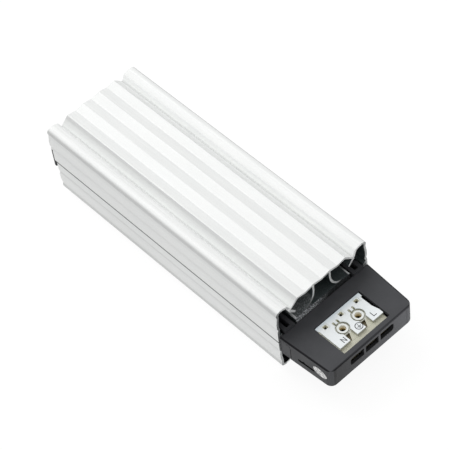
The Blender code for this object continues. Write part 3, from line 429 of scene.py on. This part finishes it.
def metal(name, colour, darker, roughness, stretch=(1.0, 1.0, 1.0)):
    """A metal with drawing lines, which run where stretch is below 1."""
    material, tree, shader = new_material(name)
    lines = noise(tree, coordinates(tree, stretch), scale=900.0, detail=4.0, roughness=0.6)
    feed(tree, shader, "Base Color", mottled(tree, lines, darker, colour, METAL_RUN))
    uneven(tree, shader, lines, *[roughness * share for share in METAL_SPREAD])
    shader.inputs["Metallic"].default_value = 1.0
    bump(tree, shader, lines, strength=0.2, depth=0.00002)
    return material


def inside_mask(tree, spot):
    """1 on walls inside the halves, less on cut ends level with the plate, 0 on other ends and outside."""
    inside = largest(tree, *[region(tree, spot, bay) for bay in (BEAD_BAY, LOW_BAY, HIGH_BAY)])
    above_plate = opposite(tree, within(tree, spot["z"], PLATE_TOP))
    light_end = product(tree, facing(tree, X), largest(tree, above_plate, LEVEL_END_LIGHT))
    return product(tree, inside, opposite(tree, light_end))


def outer_masks(tree, spot):
    """The parts of the outer faces by name, each mask 1 on its part and 0 elsewhere."""
    y, z = spot["y"], spot["z"]
    lean = slope(tree, Y)
    steep = rising(tree, size_of(tree, lean), *STEEP_RUN)
    on_crest = rising(tree, z, *CREST_START)
    steep_or_low = largest(tree, steep, falling(tree, z, *TROUGH_BOTTOM))
    in_trough = product(tree, steep_or_low, region(tree, spot, TROUGH))
    masks = {name: region(tree, spot, limits) for name, limits in OUTER_REGIONS.items()}
    for name, limits in CREST_REGIONS.items():
        masks[name] = product(tree, on_crest, region(tree, spot, limits))
    for name, limits in TROUGH_REGIONS.items():
        masks[name] = product(tree, in_trough, region(tree, spot, limits))
    masks["far_bead"] = product(tree, masks["far_bead"], opposite(tree, steep))
    masks["near_top"] = product(tree, masks["bead_top"], falling(tree, y, *MIDDLE_RUN))
    masks["bead_fall"] = falling(tree, y, *BEAD_FALL)
    masks["leaning"] = product(tree, masks["flat_top"], falling(tree, lean, *NEAR_LEAN))
    masks["level"] = minus(tree, masks["flat_top"], masks["leaning"])
    masks["far_flank"] = product(tree, masks["far_trough"], falling(tree, lean, *NEAR_FLANK))
    masks["far_slope"] = minus(tree, masks["far_trough"], masks["far_flank"])
    weaker_above = span(tree, z, 1.0, HIGH_SIDE_LINES, *MIDDLE_RUN)
    masks["side_lines"] = product(tree, masks["side_lines"], weaker_above)
    off_seam = minus(tree, product(tree, z, calculate(tree, "SIGN", y)), SEAM)
    masks["seam"] = product(tree, within(tree, off_seam, SEAM_HALF), region(tree, spot, SEAM_REGION))
    return masks


def outer_colour_with_painted_light(tree, spot, masks, lines, grain):
    """Silvery die lines and clouds, with painted light and shade part by part, and the dark seam."""
    cloud = noise(tree, coordinates(tree, (0.6, 1.0, 1.0)), scale=60.0, detail=3.0, roughness=0.5)
    streaks = ramp(tree, lines, STREAK_STOPS)
    clouded = mix(tree, span(tree, cloud, 0.0, CLOUD_SHARE, *CLOUD_RUN), streaks, CLOUD_COLOUR)
    near_slope_darkening = product(tree, masks["near_slope"], span(tree, spot["y"], *NEAR_SLOPE_SHADE, *NEAR_SLOPE_RUN))
    tones = [shade(tree, masks[part], tone) for part, tone in OUTER_PAINTED_LIGHT_AND_SEAM.items()]
    grained = span(tree, grain, *GRAIN_TONES, *GRAIN_RUN)
    return toned(tree, clouded, product(tree, *tones, opposite(tree, near_slope_darkening), grained))


def painted_wall_light_and_shade(tree, spot, grain, speckle):
    """Painted shade on the walls inside, painted speckled light where light falls in at the open end."""
    x, z = spot["x"], spot["z"]
    near_bay = product(tree, region(tree, spot, NEAR_BAY), rising(tree, z, *NEAR_BAY_START),
                       rising(tree, x, *NEAR_BAY_RUN))
    # Painted shade on the walls inside, and painted speckled light in the near bay
    dull = mix(tree, near_bay, ramp(tree, grain, INNER_SHADE_STOPS), mix(tree, speckle, *NEAR_BAY_LIGHT_COLOURS))
    # Painted highlight on the plate's edge towards the open end
    plate_edge = product(tree, region(tree, spot, PLATE_EDGE),
                         span(tree, x, *PLATE_EDGE_COVER, *PLATE_EDGE_RUN))
    walls = mix(tree, plate_edge, dull, mix(tree, grain, *PLATE_EDGE_HIGHLIGHT_COLOURS))
    # More painted shade low in the lower half
    return toned(tree, walls, span(tree, z, LOW_SIDE_SHADE, 1.0, *LOW_SIDE))


def with_cut_ends(tree, spot, painted, speckle):
    """The colour, with painted light and shade on the cut ends of the plate, near web and side walls."""
    y, z = spot["y"], spot["z"]
    end = facing(tree, X)
    # Plate end painted lighter at the near side and darker at the far side
    end_fade = mix(tree, rising(tree, y, *PLATE_END_RUN), *PLATE_END_LIGHT_AND_SHADE)
    end_speckled_light = toned(tree, end_fade, span(tree, speckle, *PLATE_END_TONES))
    painted = mix(tree, product(tree, end, region(tree, spot, PLATE_END)), painted, end_speckled_light)
    # Painted shade on the web's foot, and painted speckled light on the walls' ends
    web_foot = product(tree, end, region(tree, spot, WEB_FOOT), falling(tree, z, *WEB_FOOT_END),
                       rising(tree, z, *WEB_FOOT_START), END_COVER)
    painted = mix(tree, web_foot, painted, WEB_FOOT_SHADE_COLOUR)
    wall_end = product(tree, end, region(tree, spot, WALL_END), END_COVER)
    return mix(tree, wall_end, painted, mix(tree, speckle, *WALL_END_LIGHT_COLOURS))


def anodised(name):
    """Satin anodised extrusion with faint die lines, and painted light and shade inside and out."""
    material, tree, shader = new_material(name)
    spot = section_place(tree)
    lines = noise(tree, coordinates(tree, (0.02, 1.0, 1.0)), scale=1500.0, detail=4.0, roughness=0.6)
    grain = noise(tree, coordinates(tree), scale=1900.0, detail=3.0, roughness=0.7)
    speckle = noise(tree, coordinates(tree), scale=1350.0, detail=1.0, roughness=0.5)
    speckle = rising(tree, speckle, *SPECKLE_RUN)
    inside = inside_mask(tree, spot)
    masks = outer_masks(tree, spot)
    outer = outer_colour_with_painted_light(tree, spot, masks, lines, grain)
    painted = mix(tree, inside, outer, painted_wall_light_and_shade(tree, spot, grain, speckle))
    feed(tree, shader, "Base Color", with_cut_ends(tree, spot, painted, speckle))

    grazed = largest(tree, masks["near_trough"], masks["far_trough"])
    bright = largest(tree, masks["leaning"], masks["bead_top"], masks["far_bead"])
    sheen = span(tree, lines, *EXTRUSION_ROUGHNESS, *NOISE_RUN)
    feed(tree, shader, "Roughness", largest(tree, sheen, product(tree, grazed, GRAZED_ROUGHNESS)))
    dulled = largest(tree, inside, product(tree, grazed, GRAZED_DULLING),
                     product(tree, bright, BRIGHT_DULLING))
    feed(tree, shader, "Metallic", span(tree, dulled, EXTRUSION_METALLIC, 0.0))
    bump(tree, shader, product(tree, lines, opposite(tree, grazed)), strength=0.10, depth=0.00002)
    return material


def housing_plastic(name):
    """Black moulded plastic: painted dark rim and openings, painted shade at the root and front's near end.
    """
    material, tree, shader = new_material(name)
    vector = coordinates(tree)
    mottling = noise(tree, vector, scale=90.0, detail=5.0, roughness=0.6)
    spot = section_place(tree)
    y, z = spot["y"], spot["z"]
    along = minus(tree, spot["x"], PROFILE_LENGTH)
    half = minus(tree, HOUSING_ROOT_HALF, product(tree, along, HOUSING_TAPER / HOUSING_LENGTH))
    to_side = minus(tree, half, spot["across"])
    to_front = minus(tree, HOUSING_LENGTH, along)
    spot.update(along=along, to_side=to_side, to_front=to_front)

    # A painted dark reflection along the top edges' rim
    near_edge = falling(tree, calculate(tree, "MINIMUM", to_side, to_front), *RIM_WIDTH)
    rim = product(tree, near_edge, rising(tree, z, *RIM_DEPTH))
    side_rim = span(tree, minus(tree, to_front, to_side), *SIDE_RIM_COVER, *SIDE_RIM_RUN)
    plain = mottled(tree, mottling, *HOUSING_COLOURS)
    with_painted_rim = mix(tree, product(tree, rim, side_rim), plain, PAINTED_RIM_REFLECTION)

    # Painted shade at the root; the front face painted darker at its near end, lighter at its far end
    root_shade = span(tree, along, *ROOT_SHADE_TONES, *ROOT_RUN)
    front_change = minus(tree, span(tree, y, *FRONT_LIGHT_AND_SHADE, *FRONT_RUN), 1.0)
    front_shading = calculate(tree, "ADD", 1.0, product(tree, region(tree, spot, FRONT_FACE), front_change))

    # The step on the side turns a rounded corner: its painted shade line lies one rounding from its centre
    past = largest(tree, minus(tree, along, SIDE_STEP_LENGTH - STEP_ROUNDING), 0.0)
    above = largest(tree, minus(tree, z, SIDE_STEP_TOP - STEP_ROUNDING), 0.0)
    off_line = minus(tree, distance(tree, past, above), STEP_ROUNDING)
    step_line = product(tree, within(tree, off_line, STEP_LINE_HALF),
                        falling(tree, to_side, *STEP_LINE_DEPTH), rising(tree, along, *STEP_LINE_START))

    # Painted shade on the step line, in the latch and wire slots, and on the side face
    matt = {"step_line": step_line, "latch_slot": region(tree, spot, LATCH_SLOT),
            "wire_slots": region(tree, spot, WIRE_SLOTS)}
    side_face = product(tree, region(tree, spot, SIDE_FACE), falling(tree, z, *SIDE_FACE_END))
    masks = {"side_face": side_face, **matt}
    tones = [shade(tree, masks[part], tone) for part, tone in HOUSING_PAINTED_SHADE.items()]
    feed(tree, shader, "Base Color", toned(tree, with_painted_rim, product(tree, root_shade, front_shading, *tones)))
    sheen = span(tree, mottling, *HOUSING_ROUGHNESS, *NOISE_RUN)
    feed(tree, shader, "Roughness", largest(tree, sheen, rim, *matt.values()))
    shader.inputs["Specular IOR Level"].default_value = 0.22
    fine_texture(tree, shader, vector)
    return material


def block_plastic(name):
    """White moulded plastic with painted shade, yellower and darker the deeper its recesses go."""
    material, tree, shader = new_material(name)
    vector = coordinates(tree)
    mottling = noise(tree, vector, scale=140.0, detail=4.0, roughness=0.6)
    spot = section_place(tree)
    along = minus(tree, spot["x"], PROFILE_LENGTH)
    depth = minus(tree, BLOCK_TOP, spot["z"])
    depth_share = rising(tree, depth, 0.0, DEEPEST)
    level = facing(tree, Z)

    # A painted bluish reflection along the back, and a painted shade line along the top's edges
    back_strip = falling(tree, minus(tree, along, BLOCK_BACK), *BACK_STRIP_RUN)
    top = mix(tree, back_strip, mottled(tree, mottling, *TOP_COLOURS), BACK_STRIP_REFLECTION)
    edge_line = product(tree, between(tree, depth, *EDGE_LINE), EDGE_LINE_COVER)
    top = mix(tree, edge_line, top, EDGE_LINE_SHADE)

    # Painted shade in the recesses by depth, darker on their walls
    deep = toned(tree, ramp(tree, depth_share, RECESS_SHADE_STOPS), span(tree, level, RECESS_WALL_SHADE, 1.0))
    off_pole = minus(tree, spot["across"], POLE_PITCH / 2)
    reach = distance(tree, minus(tree, along, BOSS_X), off_pole)
    # Painted light round the bosses and in the test hole, painted light and shade on the clamp holes' walls
    around_boss = product(tree, between(tree, reach, *BOSS_RING), falling(tree, depth, *BOSS_DEPTH), level)
    deep = mix(tree, around_boss, deep, BOSS_RING_LIGHT)
    hole_wall = product(tree, between(tree, reach, *CLAMP_HOLE), opposite(tree, level))
    deep = mix(tree, hole_wall, deep, ramp(tree, depth_share, HOLE_LIGHT_AND_SHADE_STOPS))
    at_test_hole = within(tree, minus(tree, along, TEST_HOLE_X), TEST_HOLE_HALF)
    deep = mix(tree, product(tree, at_test_hole, TEST_HOLE_COVER), deep, TEST_HOLE_LIGHT)

    feed(tree, shader, "Base Color", mix(tree, rising(tree, depth, *RECESS_START), top, deep))
    uneven(tree, shader, mottling, *BLOCK_ROUGHNESS)
    fine_texture(tree, shader, vector, scale=3000.0, strength=0.3, depth=0.00001)
    return material


FOIL_STOPS = [(0.42, (0.42, 0.42, 0.42)), (0.55, (0.80, 0.80, 0.79))]
FOIL_ROUGHNESS = (0.35, 0.60)


def sticker_foil(name):
    """Silvery foil with irregular dull blots."""
    material, tree, shader = new_material(name)
    blots = noise(tree, coordinates(tree), scale=900.0, detail=3.0, roughness=0.6)
    feed(tree, shader, "Base Color", ramp(tree, blots, FOIL_STOPS))
    feed(tree, shader, "Roughness", span(tree, blots, *FOIL_ROUGHNESS))
    shader.inputs["Metallic"].default_value = 0.3
    return material


# Name, colour, darker tone and roughness, for the steel also the stretch of its lines
BRASS = ("contact_metal_look", (0.78, 0.66, 0.45), (0.62, 0.50, 0.32), 0.32)
STEEL = ("spring_steel_look", (0.66, 0.66, 0.67), (0.52, 0.52, 0.53), 0.28, (0.05, 1.0, 1.0))
CERAMIC = ("ptc_ceramic_look", (0.24, 0.23, 0.22), (0.17, 0.16, 0.16), 0.85)
FILM = ("insulation_film_look", (0.66, 0.38, 0.10), (0.56, 0.30, 0.07), 0.35)
RED = ("lead_live_look", (0.40, 0.05, 0.04), (0.32, 0.03, 0.03), 0.45)
BLUE = ("lead_neutral_look", (0.05, 0.12, 0.42), (0.03, 0.09, 0.34), 0.45)
GREEN = ("lead_earth_look", (0.14, 0.38, 0.08), (0.10, 0.30, 0.06), 0.45)
INK = ("ink_look", (0.040, 0.040, 0.045), (0.025, 0.025, 0.03), 0.6)

LOOKS = {
    "anodised_aluminium": anodised("anodised_aluminium_look"),
    "black_plastic": housing_plastic("black_plastic_look"),
    "block_plastic": block_plastic("block_plastic_look"),
    "contact_metal": metal(*BRASS),
    "spring_steel": metal(*STEEL),
    "ptc_ceramic": moulded(*CERAMIC),
    "insulation_film": moulded(*FILM),
    "lead_live": moulded(*RED),
    "lead_neutral": moulded(*BLUE),
    "lead_earth": moulded(*GREEN),
}


# Edges and shading of the CAD nodes

EDGE_WIDTHS = {"housing_cover": 0.00025, "housing_base": 0.0002, "rear_cap": 0.00025,
               "terminal_block": 0.00012, "din_clip": 0.00012, "upper_profile": 0.00012,
               "lower_profile": 0.00012}
EDGE_SEGMENTS = 2
EDGE_ANGLE = math.radians(40)
SMOOTH_ANGLE = math.radians(24)
FLAT_ANGLE = math.radians(0.3)
WELD_DISTANCE = 0.000001


def make_shading():
    """A node group that shades smoothly over shallow edges and keeps steeper ones sharp."""
    group = bpy.data.node_groups.new("smooth_by_angle", "GeometryNodeTree")
    for way in ("INPUT", "OUTPUT"):
        group.interface.new_socket("Geometry", in_out=way, socket_type="NodeSocketGeometry")
    start = group.nodes.new("NodeGroupInput")
    end = group.nodes.new("NodeGroupOutput")
    angle = group.nodes.new("GeometryNodeInputMeshEdgeAngle")
    steep = group.nodes.new("FunctionNodeCompare")
    steep.data_type = "FLOAT"
    steep.operation = "GREATER_THAN"
    steep.inputs["B"].default_value = SMOOTH_ANGLE
    normal = group.nodes.new("GeometryNodeSetMeshNormal")
    normal.mode = "SHARPNESS"
    normal.inputs["Remove Custom"].default_value = True
    group.links.new(start.outputs[0], normal.inputs["Mesh"])
    group.links.new(angle.outputs["Unsigned Angle"], steep.inputs["A"])
    group.links.new(steep.outputs["Result"], normal.inputs["Edge Sharpness"])
    group.links.new(normal.outputs[0], end.inputs[0])
    return group


SHADING = make_shading()


def soften(thing, width):
    """Rounds a CAD node's edges by the width, if it is above zero, and shades it smoothly."""
    weld = thing.modifiers.new("weld", "WELD")
    weld.merge_threshold = WELD_DISTANCE
    if width:
        planar = thing.modifiers.new("planar", "DECIMATE")
        planar.decimate_type = "DISSOLVE"
        planar.angle_limit = FLAT_ANGLE
        edge = thing.modifiers.new("edge", "BEVEL")
        edge.width = width
        edge.segments = EDGE_SEGMENTS
        edge.limit_method = "ANGLE"
        edge.angle_limit = EDGE_ANGLE
    shading = thing.modifiers.new("shading", "NODES")
    shading.node_group = SHADING
    flat = thing.modifiers.new("flat_faces_first", "WEIGHTED_NORMAL")
    flat.mode = "FACE_AREA"
    flat.keep_sharp = True


SLOTS = {entry["node"]: entry["material_slot"] for entry in frame["record"]["subparts"]}
for name, thing in frame["nodes"].items():
    look = LOOKS[SLOTS[name]]
    for slot in thing.material_slots:
        slot.material = look
    if not thing.material_slots:
        thing.data.materials.append(look)
    soften(thing, EDGE_WIDTHS.get(name, 0.0))


# Pieces that the scene adds

def finish_piece(work, name, look):
    mesh = bpy.data.meshes.new(name)
    bmesh.ops.recalc_face_normals(work, faces=work.faces)
    work.to_mesh(mesh)
    work.free()
    piece = bpy.data.objects.new(name, mesh)
    bpy.context.scene.collection.objects.link(piece)
    mesh.materials.append(look)
    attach(piece, "root")


def prism(work, bottom, top):
    """A closed solid between two outlines that have the same number of vertices."""
    work.faces.new(bottom[::-1])
    work.faces.new(top)
    for index in range(len(bottom)):
        after = (index + 1) % len(bottom)
        work.faces.new((bottom[index], bottom[after], top[after], top[index]))


# Printed marks on the block

INK_LOOK = moulded(*INK)
INK_HEIGHTS = (0.00001, 0.00006)    # above the block's top face
STROKE = 0.00042
FINE_STROKE = 0.00028
RING_SIDES = 32

# Each mark's place along the housing and across it, its height, the width of its strokes, the
# radius of a ring round it, and its strokes in the mark's own right and up directions
MARKS = {
    "mark_live": (0.0258, 0.0121, 0.0030, STROKE, None,
                  [((-0.30, 0.50), (-0.30, -0.50)), ((-0.30, -0.50), (0.36, -0.50))]),
    "mark_neutral": (0.0265, -0.0110, 0.0030, STROKE, None,
                     [((-0.35, -0.50), (-0.35, 0.50)), ((-0.35, 0.50), (0.35, -0.50)),
                      ((0.35, -0.50), (0.35, 0.50))]),
    "mark_earth": (0.0260, 0.0010, 0.0026, FINE_STROKE, 0.00215,
                   [((0.0, 0.50), (0.0, -0.05)), ((-0.45, -0.05), (0.45, -0.05)),
                    ((-0.28, -0.27), (0.28, -0.27)), ((-0.12, -0.48), (0.12, -0.48))]),
}


def stroke(work, start, end, width, low, high):
    """A flat bar from start to end, given as (x, y) in the world frame."""
    first, last = Vector(start), Vector(end)
    along = (last - first).normalized() * width / 2
    across = Vector((-along.y, along.x))
    corners = [first - along - across, last + along - across, last + along + across,
               first - along + across]
    prism(work, *[[work.verts.new((corner.x, corner.y, height)) for corner in corners]
                  for height in (low, high)])


def ring(work, centre, radius, width, low, high):
    loops = []
    for height in (low, high):
        for reach in (radius - width / 2, radius + width / 2):
            turns = [2 * math.pi * k / RING_SIDES for k in range(RING_SIDES)]
            loops.append([work.verts.new((centre.x + reach * math.cos(turn),
                                          centre.y + reach * math.sin(turn), height))
                          for turn in turns])
    low_in, low_out, high_in, high_out = loops
    for k in range(RING_SIDES):
        n = (k + 1) % RING_SIDES
        work.faces.new((low_in[k], low_in[n], low_out[n], low_out[k]))
        work.faces.new((high_in[k], high_out[k], high_out[n], high_in[n]))
        work.faces.new((low_out[k], low_out[n], high_out[n], high_out[k]))
        work.faces.new((low_in[k], high_in[k], high_in[n], low_in[n]))


def mark(name, along, across, size, width, radius, strokes):
    """Ink on the block's top face. A mark's right is the world's +Y and its up is the world's -X."""
    centre = place(PROFILE_LENGTH + along, across, BLOCK_TOP)
    low, high = [centre.z + height for height in INK_HEIGHTS]
    work = bmesh.new()
    for ends in strokes:
        start, end = [(centre.x - up * size, centre.y + right * size) for right, up in ends]
        stroke(work, start, end, width, low, high)
    if radius:
        ring(work, centre, radius, STROKE, low, high)
    finish_piece(work, name, INK_LOOK)


for name, values in MARKS.items():
    mark(name, *values)


# Bare oval sticker on the housing's near side

STICKER_CENTRE = (0.0290, -0.0023)      # along the housing, and z
STICKER_RADII = (0.0048, 0.0029)
STICKER_TILT = math.radians(-17)
STICKER_FACES = (0.00002, 0.00014)      # how far its two faces stand off the housing
STICKER_SIDES = 48


def sticker():
    cos_tilt, sin_tilt = math.cos(STICKER_TILT), math.sin(STICKER_TILT)
    outline = []
    for k in range(STICKER_SIDES):
        turn = 2 * math.pi * k / STICKER_SIDES
        a, b = STICKER_RADII[0] * math.cos(turn), STICKER_RADII[1] * math.sin(turn)
        outline.append((STICKER_CENTRE[0] + a * cos_tilt - b * sin_tilt,
                        STICKER_CENTRE[1] + a * sin_tilt + b * cos_tilt))
    work = bmesh.new()
    faces = []
    for proud in STICKER_FACES:
        faces.append([])
        for along, z in outline:
            half = HOUSING_ROOT_HALF - HOUSING_TAPER * along / HOUSING_LENGTH
            faces[-1].append(work.verts.new(place(PROFILE_LENGTH + along, -half - proud, z)))
    prism(work, *faces)
    finish_piece(work, "oval_sticker", sticker_foil("sticker_look"))


sticker()


# Camera

AZIMUTH, ELEVATION, ROLL = math.radians(53.679), math.radians(51.759), math.radians(-8.648)
CAMERA_DISTANCE = 1.1200
CAMERA_TARGET = place(0.11013, 0.00037, 0.0)
IMAGE_WIDTH = 449
FOCAL_PIXELS = 1992.69
SENSOR_WIDTH = 36.0


def make_camera():
    back = Vector((math.sin(AZIMUTH) * math.cos(ELEVATION), -math.cos(AZIMUTH) * math.cos(ELEVATION),
                   math.sin(ELEVATION)))
    right = Vector((math.cos(AZIMUTH), math.sin(AZIMUTH), 0.0))
    up = back.cross(right)
    across = right * math.cos(ROLL) + up * math.sin(ROLL)
    upward = up * math.cos(ROLL) - right * math.sin(ROLL)
    data = bpy.data.cameras.new("camera")
    data.sensor_fit = "HORIZONTAL"
    data.sensor_width = SENSOR_WIDTH
    data.lens = FOCAL_PIXELS / IMAGE_WIDTH * SENSOR_WIDTH
    data.clip_start = 0.05
    data.clip_end = 20.0
    camera = bpy.data.objects.new("camera", data)
    bpy.context.scene.collection.objects.link(camera)
    turn = Matrix((across, upward, back)).transposed().to_4x4()
    camera.matrix_world = Matrix.Translation(CAMERA_TARGET + back * CAMERA_DISTANCE) @ turn
    bpy.context.scene.camera = camera


make_camera()


# Floor, world and lamp

WHITE = (1.0, 1.0, 1.0, 1.0)
FLOOR_SIZE = 12.0
FLOOR_HEIGHT = -0.0002
FLOOR_COLOUR = (0.86, 0.86, 0.86, 1.0)
FLOOR_GLOW = 1.05
GLOW_SHARE = 0.86           # the rest of the floor's colour is lit, and so keeps the shadow
LIGHT_STOPS = [(0.0, (0.22, 0.22, 0.23)), (0.30, (0.42, 0.42, 0.43)), (0.60, (0.92, 0.92, 0.92)),
               (1.0, (0.98, 0.98, 0.975))]
SEEN_STOPS = [(0.0, (0.56, 0.56, 0.56)), (0.30, (0.64, 0.64, 0.64)), (0.60, (0.93, 0.93, 0.93)),
              (1.0, (1.0, 1.0, 1.0))]
LAMP_PLACE = Vector((-0.7, -0.1, 1.2))
LAMP_TARGET = Vector((0.0, 0.0, 0.03))
LAMP_SIZE = 0.9
LAMP_POWER = 5.0


def background_ray(tree):
    """1 for rays from the camera and for those mirrored or let through on the way, 0 for the others."""
    path = add(tree, "ShaderNodeLightPath")
    return largest(tree, *[path.outputs[f"Is {kind} Ray"] for kind in ("Camera", "Glossy", "Transmission")])


def blend_shaders(tree, factor, first, second, output):
    blend = add(tree, "ShaderNodeMixShader")
    tree.links.new(factor, blend.inputs["Fac"])
    tree.links.new(first.outputs[0], blend.inputs[1])
    tree.links.new(second.outputs[0], blend.inputs[2])
    feed(tree, tree.nodes[output], "Surface", blend.outputs[0])


def make_floor():
    bpy.ops.mesh.primitive_plane_add(size=FLOOR_SIZE, location=(0.0, 0.0, FLOOR_HEIGHT))
    floor = bpy.context.object
    floor.name = "floor"
    material, tree, shader = new_material("floor_look")
    shader.inputs["Base Color"].default_value = FLOOR_COLOUR
    shader.inputs["Roughness"].default_value = 0.9
    shader.inputs["Specular IOR Level"].default_value = 0.1
    glow = add(tree, "ShaderNodeEmission")
    glow.inputs["Color"].default_value = WHITE
    glow.inputs["Strength"].default_value = FLOOR_GLOW
    share = product(tree, background_ray(tree), GLOW_SHARE)
    blend_shaders(tree, share, shader, glow, "Material Output")
    floor.data.materials.append(material)


def make_world():
    """Soft light from above for the object, and a paler backdrop for camera and reflections."""
    world = bpy.data.worlds.new("studio")
    bpy.context.scene.world = world
    world.use_nodes = True
    tree = world.node_tree
    source = add(tree, "ShaderNodeTexCoord")
    split = add(tree, "ShaderNodeSeparateXYZ")
    tree.links.new(source.outputs["Generated"], split.inputs["Vector"])
    light = tree.nodes["Background"]
    seen = add(tree, "ShaderNodeBackground")
    for shader, stops in ((light, LIGHT_STOPS), (seen, SEEN_STOPS)):
        feed(tree, shader, "Color", ramp(tree, split.outputs[Z], stops))
    blend_shaders(tree, background_ray(tree), light, seen, "World Output")


def make_lamp():
    data = bpy.data.lights.new("key", "AREA")
    data.shape = "DISK"
    data.size = LAMP_SIZE
    data.energy = LAMP_POWER
    lamp = bpy.data.objects.new("key", data)
    bpy.context.scene.collection.objects.link(lamp)
    lamp.rotation_mode = "QUATERNION"
    lamp.rotation_quaternion = (LAMP_TARGET - LAMP_PLACE).to_track_quat("-Z", "Y")
    lamp.location = LAMP_PLACE


make_floor()
make_world()
make_lamp()
bpy.context.scene.view_settings.view_transform = "Standard"
